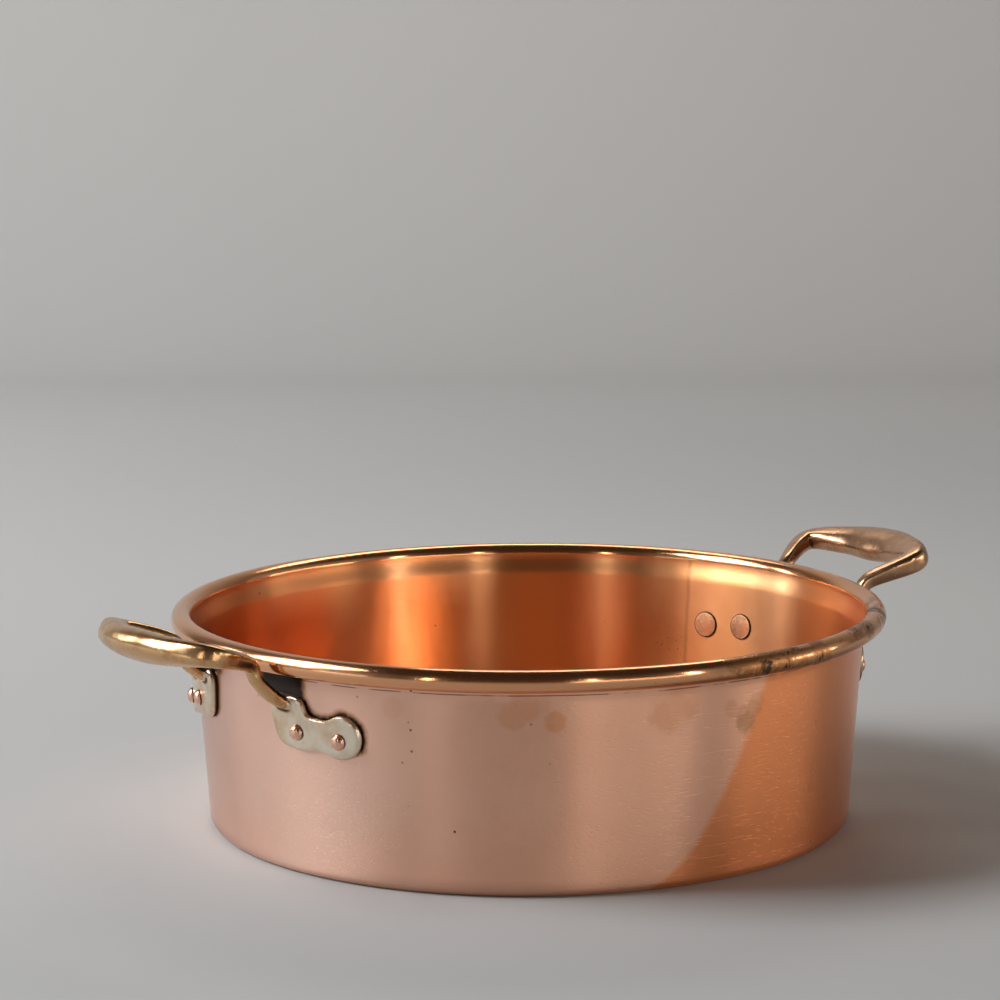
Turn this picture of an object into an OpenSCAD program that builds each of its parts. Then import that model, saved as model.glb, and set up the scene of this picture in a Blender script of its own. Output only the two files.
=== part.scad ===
// Copper jam pan: a wide, low preserving pan of sheet copper with a wired rim and two
// cast brass loop handles, each held by four copper rivets.
// The origin is the middle of the base on the surface it stands on, +Z is up, and the
// handles lie along X. The front is -Y.

/* [Pan] */
// Diameter over the rolled rim
rim_d = 380; // [320:1:440]
// Height from the base to the top of the rim
pan_h = 115.5; // [95:0.5:150]
// Thickness of the copper sheet
sheet_t = 1.5; // [1:0.1:2]
// How much narrower the wall is at the base than at the neck, on the radius
wall_lean = 6.6; // [2:0.1:14]
// Outside radius of the corner between base and wall
corner_r = 5; // [3:0.5:10]
// Height of the neck, where the wall sweeps out to the rim
neck_h = 12; // [10:0.5:14]
// How far the neck sweeps out
neck_out = 2.5; // [1.5:0.1:3.5]

/* [Rim] */
// Diameter of the iron wire in the rim
wire_d = 8; // [7:0.25:10]
// Space between the wire and the sheet rolled round it
wire_fit = 0.05; // [0.02:0.01:0.1]
// Least gap between the rolled edge and the wall
seam_gap = 0.2; // [0.1:0.05:0.5]

/* [Handles] */
// Turn of each hand-fitted handle towards the front, in degrees
handle_turn = 2.6; // [0:0.1:5]
// Distance from the outside of the rim to the middle of the grip
grip_reach = 46.5; // [40:0.5:60]
// Height of the grip's middle above the middle of the rim
grip_rise = 11.9; // [8:0.1:18]
// Extra height of the right grip and missing height of the left one, from hand fitting
grip_tilt = 1.6; // [0:0.1:3]
// Sideways lean of the grip off the middle of its rivets
grip_skew = 11; // [0:0.5:13]
// How far the legs and the inner parts of the feet lie to the same side
casting_shift = 2.5; // [0:0.1:4]
// How much lower the left loop's back corner is than its middle, and its front one higher
corner_lift = 2; // [-4:0.1:4]
// How much thicker the casting is at one corner than in the middle, as a share
uneven = 0.08; // [0:0.01:0.15]
// Width of the grip at its middle
grip_w = 23.2; // [18:0.2:28]
// Thickness of the grip at its middle
grip_t = 15.4; // [12:0.2:18]
// Distance between the middles of the loop's two corners
loop_w = 103.2; // [92:0.2:112]
// How much nearer to the pan a corner is than the middle of the grip
corner_inset = 13.8; // [10:0.2:18]
// Width of a corner of the loop
corner_w = 11.8; // [10:0.2:15]
// Thickness of a corner of the loop
corner_t = 11.3; // [9:0.1:14]
// Distance between the middles of the two legs beside the rim
legs_w = 79; // [74:0.5:88]
// Width of a leg
leg_w = 7.2; // [6:0.1:9]
// Thickness of a leg
leg_t = 6.8; // [5.5:0.1:8]
// Space between a leg and the rolled rim
leg_gap = 2.4; // [1.5:0.1:5]
// Squareness of the grip's and the legs' sections: 2 is an oval, more is squarer
grip_square = 2.3; // [2:0.1:3]
// Squareness of the arms' sections
arm_square = 3.4; // [2:0.1:4]

/* [Feet] */
// Thickness of a riveting foot
foot_t = 3.6; // [3:0.1:5]
// Space between a foot and the wall
foot_fit = 0.05; // [0.02:0.01:0.1]
// Radius of a foot's outer lobe
lobe_r = 11; // [9.5:0.1:12]
// Radius of the foot round its inner rivet
pad_r = 9; // [7.5:0.1:11]
// Distance from the handle's middle to its inner rivets, along the wall
rivet_inner_s = 50.5; // [46:0.5:54]
// Distance between a foot's two rivets
rivet_pitch = 26; // [24:0.5:30]
// Depth of the inner rivets below the middle of the rim
rivet_drop = 34.2; // [32:0.1:38]
// How much lower the outer rivet is than the inner one
rivet_step = 1.6; // [0:0.1:3]
// The same at the left handle's back foot
left_back_step = 4.3; // [0:0.1:5]
// The same at the right handle's front foot, where it is a little higher
right_front_step = -0.2; // [-1:0.1:3]

/* [Rivets] */
// Diameter of the domed head
dome_d = 8.2; // [7:0.1:10]
// Height of the domed head
dome_h = 3; // [2:0.1:4]
// Diameter of the flat head inside the pan
head_d = 15; // [12:0.2:17]
// Thickness of the flat head
head_t = 0.9; // [0.6:0.1:1.5]
// Diameter of the shank
shank_d = 5.5; // [4.5:0.1:6.5]
// Space round the shank
shank_fit = 0.03; // [0.01:0.01:0.08]
// Space under both heads
head_fit = 0.02; // [0.01:0.01:0.05]

/* [Hidden] */

// Faces round a circle, sides of the casting's section and steps along curves
ROUND = 96;
SIDES = 16;
LOFT_STEPS = 5;
NECK_STEPS = 10;
CORNER_STEPS = 6;
CURL_STEPS = 24;
DOME_STEPS = 10;

// The rolled rim
hollow_r = wire_d / 2 + wire_fit;
bead_r = hollow_r + sheet_t;
bead_ring_r = rim_d / 2 - bead_r;
rim_z = pan_h - bead_r;
// The sheet rolls from the wall over the top, and stops short of the wall by the seam gap
roll_start = 180;
roll_end = acos((hollow_r - seam_gap) / bead_r) - 180;

// The wall: radii are of its outside
neck_z = rim_z - neck_h;
rim_wall_r = bead_ring_r - hollow_r;
neck_r = rim_wall_r - neck_out;
lean_angle = atan(wall_lean / (neck_z - corner_r));
function wall_r(z) = neck_r - (neck_z - z) * tan(lean_angle);
corner_cx = wall_r(corner_r) - corner_r * cos(lean_angle);

// The neck leaves the wall along its lean and arrives upright at the rim
neck_curve = [
    [neck_r, neck_z],
    [neck_r + neck_h / 3 * tan(lean_angle), neck_z + neck_h / 3],
    [rim_wall_r, rim_z - neck_h / 3],
    [rim_wall_r, rim_z]
];

// Places of the rivets and the outside of the feet
rivet_z = rim_z - rivet_drop;
rivet_outer_s = rivet_inner_s + rivet_pitch;
foot_face_r = wall_r(rivet_z) + foot_t;
// How far a flat head's edge stands off where the wall curves round under it
head_sag = pow(head_d / 2, 2) / (2 * (wall_r(rivet_z) - sheet_t));

// Circles that the inner part of a foot is drawn round: how far down the wall from the
// inner rivet, how far along it from the leg, and radius
PLATE = [[-1.5, 2.1, 10], [-11, -2.7, 7.5], [-12.6, 7.7, 5]];
PLATE_FACES = 32;
// Middle of the outer lobe, down the wall and along it from the outer rivet
LOBE = [-1.7, 1.4];
// The bar between them, as a share of the lobe's width
bar_share = 0.8;
// Circles that hollow the foot's waist above and below: place down the wall and along it
// from the inner rivet, as a share of the rivets' distance, and radius
WAIST_TOP = [-18.6, 0.6, 8.2];
WAIST_UNDER = [19, 0.485, 11];
foot_fillet = 1.5;

// The loop of the handle
grip_ring_r = rim_d / 2 + grip_reach;
leg_ring_r = rim_d / 2 + leg_gap + leg_t / 2;
stand_off = leg_ring_r - foot_face_r;
leg_root_rise = 11.5;
leg_root_z = rivet_z + leg_root_rise;
leg_top_drop = 7;
leg_top_z = rim_z - leg_top_drop;
// Places up a leg from its root in the foot: how far it has come up to its top, how far
// it has left the foot, how wide and how thick it is, and the angle of its section
LEG_PLACES = [
    [0, -0.12, 1.5, 0.5, 90],
    [0.22, 0.16, 1.42, 0.95, 62],
    [0.55, 0.58, 1.2, 1.05, 55],
    [1, 1, 1.05, 1, 72]
];
// Where the leg has passed the rim it bends out towards the corner
bend_up = 1.8;
bend_spread = 0.5;
bend_out = 1;
bend_wide = 1.1;
bend_thick = 1.15;
bend_angle = 42;
// The corner hangs a little under the grip, and the grip's shoulders lie half way
corner_drop = 1.3;
corner_angle = 18;
grip_angle = 28;
shoulder_share = 0.49;
shoulder_inset = 2;
// How far the shoulders' section has gone from the corner's to the grip's
shoulder_fat = 2 / 3;
// Shares of the grip's tilt that the bend and the corner take
bend_tilt = 0.24;
corner_tilt = 0.7;

function bezier(p, t) =
    pow(1 - t, 3) * p[0] + 3 * pow(1 - t, 2) * t * p[1]
    + 3 * (1 - t) * t * t * p[2] + pow(t, 3) * p[3];
function chord(r, u) = sqrt(r * r - u * u);
function unit(v) = v / norm(v);
function signed_power(x, e) = sign(x) * pow(abs(x), e);

// The corner of the sheet at this radius, from the base up to the wall
function corner_arc(r) = [
    for (i = [0 : CORNER_STEPS])
        let (a = -90 + i / CORNER_STEPS * (90 - lean_angle))
        [corner_cx + r * cos(a), corner_r + r * sin(a)]
];
function neck_line() = [for (i = [0 : NECK_STEPS]) bezier(neck_curve, i / NECK_STEPS)];
function reversed(list) = [for (i = [len(list) - 1 : -1 : 0]) list[i]];
// The sheet's outline: outside from the middle of the base to the rim, and back inside
function sheet_outline() = concat(
    [[0, 0]], corner_arc(corner_r), neck_line(),
    [for (p = reversed(neck_line())) p - [sheet_t, 0]],
    reversed(corner_arc(corner_r - sheet_t)), [[0, sheet_t]]
);
function roll_arc(r, from, to) = [
    for (i = [0 : CURL_STEPS])
        let (a = from + (to - from) * i / CURL_STEPS)
        [bead_ring_r + r * cos(a), rim_z + r * sin(a)]
];

module pan_body() {
    color("chocolate")
        difference() {
            union() {
                rotate_extrude($fn = ROUND * 2) polygon(sheet_outline());
                rotate_extrude($fn = ROUND * 2)
                    polygon(concat(roll_arc(bead_r, roll_start, roll_end),
                                   roll_arc(hollow_r, roll_end, roll_start)));
            }
            for (side = [-1, 1]) rotate([0, 0, handle_bearing(side)]) rivet_bores(side);
        }
}

module rim_wire() {
    color("dimgray")
        rotate_extrude($fn = ROUND * 2)
            translate([bead_ring_r, rim_z]) circle(d = wire_d, $fn = ROUND);
}

// Half of the casting as stations: sideways place, distance from the pan's axis, height,
// half width, half thickness, the angle that the section is turned to and its squareness
function leg_station(p) =
    let (
        u = legs_w / 2,
        z = leg_root_z + p[0] * (leg_top_z - leg_root_z),
        r = foot_face_r + p[1] * stand_off
    ) [u, chord(r, u), z, leg_w / 2 * p[2], leg_t / 2 * p[3], p[4], grip_square];
function at_shoulder(corner, grip) = corner + shoulder_fat * (grip - corner);
function half_loop(tilt) = concat(
    [for (p = LEG_PLACES) leg_station(p)],
    [
        [legs_w / 2 + bend_spread, leg_ring_r + bend_out, rim_z + bend_up + tilt * bend_tilt,
            leg_w / 2 * bend_wide, leg_t / 2 * bend_thick, bend_angle, arm_square],
        [loop_w / 2, grip_ring_r - corner_inset,
            rim_z + grip_rise - corner_drop + tilt * corner_tilt,
            corner_w / 2, corner_t / 2, corner_angle, arm_square],
        [loop_w / 2 * shoulder_share, grip_ring_r - shoulder_inset, rim_z + grip_rise + tilt,
            at_shoulder(corner_w, grip_w) / 2, at_shoulder(corner_t, grip_t) / 2, grip_angle,
            grip_square],
        [0, grip_ring_r, rim_z + grip_rise + tilt, grip_w / 2, grip_t / 2, grip_angle,
            grip_square]
    ]
);
// A place takes more of the loop's skew, lift and unevenness the further it is from the feet
function loop_share(r) = min(1, max(0, (r - foot_face_r) / (grip_ring_r - foot_face_r)));
function fitted(s, side) =
    let (
        share = loop_share(s[1]),
        across = s[0] / (loop_w / 2) * share,
        fat = 1 + uneven * across
    ) [s[0] - casting_shift - (grip_skew - casting_shift) * share, s[1],
        s[2] + side * corner_lift * across, s[3] * fat, s[4] * fat, s[5], s[6]];
function mirrored(s) = [-s[0], s[1], s[2], s[3], s[4], s[5], s[6]];
function whole_loop(side) =
    let (half = half_loop(side * grip_tilt), n = len(half)) concat(
        [for (s = half) fitted(s, side)],
        [for (i = [n - 2 : -1 : 0]) fitted(mirrored(half[i]), side)]
    );

// A smooth curve through all the stations
function smooth_between(a, b, c, d, t) =
    0.5 * (2 * b + (c - a) * t + (2 * a - 5 * b + 4 * c - d) * t * t
        + (3 * b - a - 3 * c + d) * t * t * t);
function smooth_line(s) =
    let (n = len(s), p = concat([2 * s[0] - s[1]], s, [2 * s[n - 1] - s[n - 2]])) concat(
        [for (i = [1 : n - 1], k = [0 : LOFT_STEPS - 1])
            smooth_between(p[i - 1], p[i], p[i + 1], p[i + 2], k / LOFT_STEPS)],
        [s[n - 1]]
    );
function place_of(s) = [s[0], s[1], s[2]];
// One section of the casting: a rounded outline square to the line that it follows
function section(s, along) =
    let (
        up = [0, -sin(s[5]), cos(s[5])],
        b = unit(up - along * (up * along)),
        a = cross(b, along)
    ) [for (i = [0 : SIDES - 1])
        let (t = 360 * i / SIDES)
        place_of(s) + a * s[3] * signed_power(cos(t), 2 / s[6])
            + b * s[4] * signed_power(sin(t), 2 / s[6])];

// A solid through the sections along a line of stations, closed by a fan at each end
module sweep(line) {
    n = len(line);
    rings = [for (i = [0 : n - 1]) section(line[i],
        unit(place_of(line[min(n - 1, i + 1)]) - place_of(line[max(0, i - 1)])))];
    points = concat([for (r = rings) each r], [place_of(line[0]), place_of(line[n - 1])]);
    skin = [for (i = [0 : n - 2], j = [0 : SIDES - 1])
        let (a = i * SIDES + j, b = i * SIDES + (j + 1) % SIDES)
        each [[b, a, a + SIDES], [b + SIDES, b, a + SIDES]]];
    ends = [for (j = [0 : SIDES - 1])
        let (k = (j + 1) % SIDES, last = (n - 1) * SIDES)
        each [[n * SIDES, j, k], [n * SIDES + 1, last + k, last + j]]];
    polyhedron(points = points, faces = concat(skin, ends));
}

// Puts a child drawn along +Z square to the wall, this far round from the handle's middle
module on_wall(s, z) {
    rotate([0, 0, s / foot_face_r * 180 / PI])
        translate([wall_r(z), 0, z])
            rotate([0, 90 + lean_angle, 0])
                children();
}

// Outline of a foot: the inner plate up to the leg, the outer lobe and a waist between them.
// Its X is down the wall and its Y is along it. The plate can lie towards the outer end,
// and the outer rivet lower than the inner one.
module foot_outline(shift, step) {
    half = lobe_r * bar_share;
    offset(r = -foot_fillet, $fn = PLATE_FACES)
        offset(r = foot_fillet, $fn = PLATE_FACES)
            difference() {
                union() {
                    hull() {
                        circle(r = pad_r, $fn = PLATE_FACES);
                        for (p = PLATE)
                            translate([p[0], legs_w / 2 + p[1] + shift - rivet_inner_s])
                                circle(r = p[2], $fn = PLATE_FACES);
                    }
                    translate([LOBE[0] + step, LOBE[1] + rivet_pitch])
                        circle(r = lobe_r, $fn = ROUND / 2);
                    polygon([
                        [half, 0], [half + step, rivet_pitch],
                        [step - half, rivet_pitch], [-half, 0]
                    ]);
                }
                for (w = [WAIST_TOP, WAIST_UNDER])
                    translate([w[0] + w[1] * step, w[1] * rivet_pitch])
                        circle(r = w[2], $fn = ROUND / 2);
            }
}

// The wall's outside with this much added to its radius, as a solid over the feet's height
module grown_wall(extra) {
    low = rivet_z - 2 * lobe_r;
    high = neck_z + neck_h / 2;
    rotate_extrude($fn = ROUND * 2)
        polygon([[0, low], [wall_r(low) + extra, low], [wall_r(high) + extra, high], [0, high]]);
}

module foot(side, end) {
    intersection() {
        grown_wall(foot_t);
        on_wall(end * rivet_inner_s, rivet_z)
            translate([0, 0, -foot_t])
                mirror([0, end < 0 ? 1 : 0, 0])
                    linear_extrude(3 * foot_t)
                        foot_outline(end * casting_shift, outer_step(side, end));
    }
}

// Side is 1 for the right handle and -1 for the left one
function handle_bearing(side) = side > 0 ? -handle_turn : 180 + handle_turn;
// How much lower an end's outer rivet is than its inner one
function outer_step(side, end) =
    end > 0 ? rivet_step : side < 0 ? left_back_step : right_front_step;
// The bores for one handle's four rivets, through the feet and the wall
module rivet_bores(side) {
    for (end = [-1, 1], outer = [true, false])
        at_rivet(side, end, outer)
            translate([0, 0, -2 * sheet_t])
                cylinder(d = shank_d + 2 * shank_fit, h = 2 * sheet_t + 2 * foot_t, $fn = ROUND);
}
module at_rivet(side, end, outer) {
    on_wall(end * (outer ? rivet_outer_s : rivet_inner_s),
            rivet_z - (outer ? outer_step(side, end) : 0))
        children();
}

module handle(side) {
    color("goldenrod")
        rotate([0, 0, handle_bearing(side)])
            difference() {
                union() {
                    for (end = [-1, 1]) foot(side, end);
                    rotate([0, 0, -90]) sweep(smooth_line(whole_loop(side)));
                }
                grown_wall(foot_fit);
                rivet_bores(side);
            }
}

// A rivet drawn with its shank along +Z, from the flat head inside to the dome outside
module rivet_solid() {
    dome_z = foot_t + head_fit;
    dome_curve = (dome_d * dome_d / 4 + dome_h * dome_h) / (2 * dome_h);
    half_angle = asin(dome_d / 2 / dome_curve);
    head_z = -sheet_t - head_fit - head_t;
    head_bevel = head_t / 2;
    rotate_extrude($fn = ROUND)
        polygon(concat(
            [[0, head_z], [head_d / 2 - head_bevel, head_z], [head_d / 2, head_z + head_bevel],
             [head_d / 2, -sheet_t - head_fit - head_sag], [shank_d / 2, -sheet_t - head_fit],
             [shank_d / 2, dome_z], [dome_d / 2, dome_z]],
            [for (i = [1 : DOME_STEPS - 1])
                let (a = half_angle * (1 - i / DOME_STEPS))
                [dome_curve * sin(a), dome_z + dome_h - dome_curve * (1 - cos(a))]],
            [[0, dome_z + dome_h]]
        ));
}

// The rivet on this side of the pan, at this end of the handle, in the outer or inner lobe
module rivet(side, end, outer) {
    color("peru")
        rotate([0, 0, handle_bearing(side)])
            at_rivet(side, end, outer) rivet_solid();
}
// Facing out from the pan, a handle's first end is at the front on the right side
function rivet_name(side, end, outer) = str(
    "rivet_", side < 0 ? "left" : "right",
    side * end < 0 ? "_front" : "_back",
    outer ? "_outer" : "_inner"
);

pan_body();
rim_wire();
handle(-1);  // handle_left
handle(1);  // handle_right
for (side = [-1, 1], end = [-1, 1], outer = [true, false])
    rivet(side, end, outer);
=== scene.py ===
"""Finishes a used copper jam pan: satin sheet copper, a wired rim and riveted brass handles.

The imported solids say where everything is. This file makes the finished meshes of the pan, of
its two castings and of its eight rivets, gives each its surface, and stands them on a plain
pale floor under soft light. Lengths are metres and angles are radians, unless a name says so.
ROW_TURN is how far the pan is turned from the camera, and WALL_SLOPE how far its wall leans out
for each metre up.
"""

import logging
import math
from collections.abc import Sequence
from dataclasses import dataclass
from enum import Enum
from typing import Any

import bpy
import numpy as np
from mathutils import Matrix, Vector


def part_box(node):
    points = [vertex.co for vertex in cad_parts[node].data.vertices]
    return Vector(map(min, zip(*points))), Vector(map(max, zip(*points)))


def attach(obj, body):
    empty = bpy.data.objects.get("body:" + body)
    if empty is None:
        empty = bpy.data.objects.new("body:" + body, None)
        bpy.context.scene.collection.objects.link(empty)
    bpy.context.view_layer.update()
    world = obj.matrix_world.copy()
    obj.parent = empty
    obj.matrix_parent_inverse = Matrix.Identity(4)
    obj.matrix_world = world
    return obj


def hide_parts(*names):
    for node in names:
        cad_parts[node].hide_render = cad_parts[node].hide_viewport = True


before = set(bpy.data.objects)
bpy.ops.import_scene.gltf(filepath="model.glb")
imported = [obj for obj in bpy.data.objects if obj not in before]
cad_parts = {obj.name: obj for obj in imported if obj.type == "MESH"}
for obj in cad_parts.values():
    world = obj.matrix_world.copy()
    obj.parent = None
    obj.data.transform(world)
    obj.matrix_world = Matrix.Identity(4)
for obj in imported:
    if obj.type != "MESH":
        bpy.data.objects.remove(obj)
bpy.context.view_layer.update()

MM = 0.001
CUBIC_CM = 1e-6
ROW_TURN = math.radians(31.95)
WALL_SLOPE = 0.071
LOG = logging.getLogger("jam_pan")


class Side(Enum):
    """Side of the pan that a handle is on, as a sign along X."""

    LEFT = -1
    RIGHT = 1


class End(Enum):
    """End of a handle, as the way round the pan from the handle's middle."""

    FIRST = -1
    SECOND = 1


def pick(sockets: Any, name: str | int) -> bpy.types.NodeSocket:
    """Finds a socket that is in use.

    Args:
        sockets: The inputs or the outputs of a node.
        name: The socket's name, or its place among those in use.

    Returns:
        The first socket in use with that name, or the one at that place.
    """
    used = [s for s in sockets if s.enabled]
    return used[name] if isinstance(name, int) else next(s for s in used if s.name == name)


class Wire:
    """A value in a node tree that plain arithmetic can be done on."""

    def __init__(self, bench: "Bench", socket: bpy.types.NodeSocket) -> None:
        """Remembers the socket and the bench that it is on."""
        self.bench = bench
        self.socket = socket

    def __add__(self, other: "Wire | float") -> "Wire":
        """The sum of both."""
        return self.bench.math("ADD", self, other)

    __radd__ = __add__

    def __sub__(self, other: "Wire | float") -> "Wire":
        """The difference of both."""
        return self.bench.math("SUBTRACT", self, other)

    def __rsub__(self, other: float) -> "Wire":
        """The difference of a number and this."""
        return self.bench.math("SUBTRACT", other, self)

    def __mul__(self, other: "Wire | float") -> "Wire":
        """The product of both."""
        return self.bench.math("MULTIPLY", self, other)

    __rmul__ = __mul__

    def __truediv__(self, other: "Wire | float") -> "Wire":
        """The quotient of both."""
        return self.bench.math("DIVIDE", self, other)

    def most(self, other: "Wire | float") -> "Wire":
        """The greater of both."""
        return self.bench.math("MAXIMUM", self, other)

    def rise(self, low: float, high: float) -> "Wire":
        """A smooth step from 0 at low to 1 at high. High may be the lower one."""
        return self.bench.wire("ShaderNodeMapRange", {"Value": self, "From Min": low, "From Max": high},
                               interpolation_type="SMOOTHSTEP")


class Bench:
    """Puts nodes into one tree and joins them."""

    def __init__(self, tree: bpy.types.NodeTree) -> None:
        """Takes the tree to work on."""
        self.tree = tree

    def node(self, kind: str, inputs: dict[str | int, Any] | None = None, **settings: Any) -> bpy.types.Node:
        """Adds a node.

        Args:
            kind: Blender's name for the type of node.
            inputs: Values or wires for its inputs.
            **settings: The node's own settings.

        Returns:
            The new node.
        """
        made = self.tree.nodes.new(kind)
        for name, value in settings.items():
            setattr(made, name, value)
        for name, value in (inputs or {}).items():
            self.feed(made, name, value)
        return made

    def feed(self, node: bpy.types.Node, name: str | int, value: Any) -> None:
        """Sets one input of a node.

        Args:
            node: The node.
            name: The input's name or place.
            value: A wire to join to it, or a plain value.
        """
        socket = pick(node.inputs, name)
        if isinstance(value, Wire):
            self.tree.links.new(value.socket, socket)
        else:
            socket.default_value = value

    def wire(self, kind: str, inputs: dict[str | int, Any] | None = None, out: str | int = 0,
             **settings: Any) -> Wire:
        """Adds a node and returns one of its outputs.

        Args:
            kind: Blender's name for the type of node.
            inputs: Values or wires for its inputs.
            out: Name or place of the output.
            **settings: The node's own settings.

        Returns:
            The output as a wire.
        """
        return Wire(self, pick(self.node(kind, inputs, **settings).outputs, out))

    def math(self, operation: str, *values: "Wire | float") -> Wire:
        """One step of arithmetic on up to three numbers."""
        return self.wire("ShaderNodeMath", dict(enumerate(values)), operation=operation)

    def vector(self, x: "Wire | float", y: "Wire | float", z: "Wire | float") -> Wire:
        """A vector of three numbers."""
        return self.wire("ShaderNodeCombineXYZ", {"X": x, "Y": y, "Z": z})

    def split(self, vector: Wire) -> tuple[Wire, Wire, Wire]:
        """The three numbers of a vector."""
        parts = self.node("ShaderNodeSeparateXYZ", {"Vector": vector})
        return tuple(Wire(self, pick(parts.outputs, name)) for name in "XYZ")

    def from_axis(self, x: Wire, y: Wire) -> Wire:
        """The distance from the pan's axis."""
        return self.math("SQRT", x * x + y * y)

    def off_cone(self, place: Wire) -> Wire:
        """The distance from the axis, less what the wall has leaned out by at that height."""
        x, y, z = self.split(place)
        return self.from_axis(x, y) - z * WALL_SLOPE

    def distance(self, place: Wire, middle: tuple[float, float, float]) -> Wire:
        """The distance from a fixed place."""
        return self.wire("ShaderNodeVectorMath", {0: place, 1: middle}, out="Value", operation="DISTANCE")

    def mark(self, name: str) -> Wire:
        """A number that a mesh stores at each of its points."""
        return self.wire("ShaderNodeAttribute", {}, out="Fac", attribute_name=name)

    def cells(self, place: Wire, scale: float) -> Wire:
        """The distance to the nearest of many scattered points."""
        return self.wire("ShaderNodeTexVoronoi", {"Vector": place, "Scale": scale}, out="Distance")

    def noise(self, place: Wire, scale: float, detail: float = 2.0, rough: float = 0.5,
              seed: "Wire | float" = 0.0, distortion: float = 0.0) -> Wire:
        """Soft noise.

        Args:
            place: Where the noise is read.
            scale: Cells in a unit of place.
            detail: Number of finer layers.
            rough: Strength of the finer layers.
            seed: Picks one noise of many.
            distortion: How far the noise is drawn about.

        Returns:
            A number of about 0 to 1.
        """
        return self.wire("ShaderNodeTexNoise", {
            "Vector": place, "Scale": scale, "Detail": detail, "Roughness": rough, "W": seed,
            "Distortion": distortion}, noise_dimensions="4D")

    def blend(self, share: "Wire | float", first: Any, second: Any) -> Wire:
        """A colour between two, first at a share of 0."""
        return self.wire("ShaderNodeMix", {"Factor": share, "A": first, "B": second}, data_type="RGBA")

    def bump(self, height: Wire, depth: float, under: Wire | None = None) -> Wire:
        """Turns a height of 0 to 1 into a normal.

        Args:
            height: The height.
            depth: What a height of 1 is, in metres.
            under: The normal that it lies on, if any.

        Returns:
            The normal.
        """
        inputs = {"Height": height, "Distance": depth, "Strength": 1.0}
        if under is not None:
            inputs["Normal"] = under
        return self.wire("ShaderNodeBump", inputs)

    def dress(self, shader: bpy.types.Node, body: Wire, rough: Wire, normal: Wire | None = None,
              metallic: float = 1.0) -> None:
        """Feeds what every finish has.

        Args:
            shader: The shader to feed.
            body: Its colour.
            rough: Its roughness.
            normal: Its normal, if it isn't the mesh's own.
            metallic: 1 for bare metal and 0 for paint.
        """
        self.feed(shader, "Base Color", body)
        self.feed(shader, "Metallic", metallic)
        self.feed(shader, "Roughness", rough)
        if normal is not None:
            self.feed(shader, "Normal", normal)

    def brushed_round(self, shader: bpy.types.Node, strength: float) -> None:
        """Draws highlights out up and down, as on metal that is brushed round the pan's axis."""
        self.feed(shader, "Anisotropic", strength)
        self.feed(shader, "Anisotropic Rotation", 0.25)
        self.feed(shader, "Tangent", self.wire("ShaderNodeTangent", direction_type="RADIAL", axis="Z"))


def colour(red: float, green: float, blue: float) -> tuple[float, float, float, float]:
    """A colour in linear light that hides what is behind it."""
    return (red, green, blue, 1.0)


class Finish:
    """A surface. Each kind says in paint() what its shader is fed."""

    name = "finish"

    def make(self) -> bpy.types.Material:
        """Makes the material.

        Returns:
            The material with its shader joined and painted.
        """
        material = bpy.data.materials.new(self.name)
        material.use_nodes = True
        material.node_tree.nodes.clear()
        bench = Bench(material.node_tree)
        shader = bench.node("ShaderNodeBsdfPrincipled")
        bench.node("ShaderNodeOutputMaterial", {"Surface": Wire(bench, shader.outputs["BSDF"])})
        place = bench.wire("ShaderNodeTexCoord", out="Object")
        self.paint(bench, shader, place)
        return material

    def paint(self, bench: Bench, shader: bpy.types.Node, place: Wire) -> None:
        """Feeds the shader.

        Args:
            bench: The bench that the material's tree is on.
            shader: The shader to feed.
            place: The place on the object, in metres.
        """
        raise NotImplementedError


@dataclass(frozen=True)
class Mark:
    """A finger mark or a smudge on the outside of the wall."""

    bearing_deg: float
    height: float
    size: float
    strength: float


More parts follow.
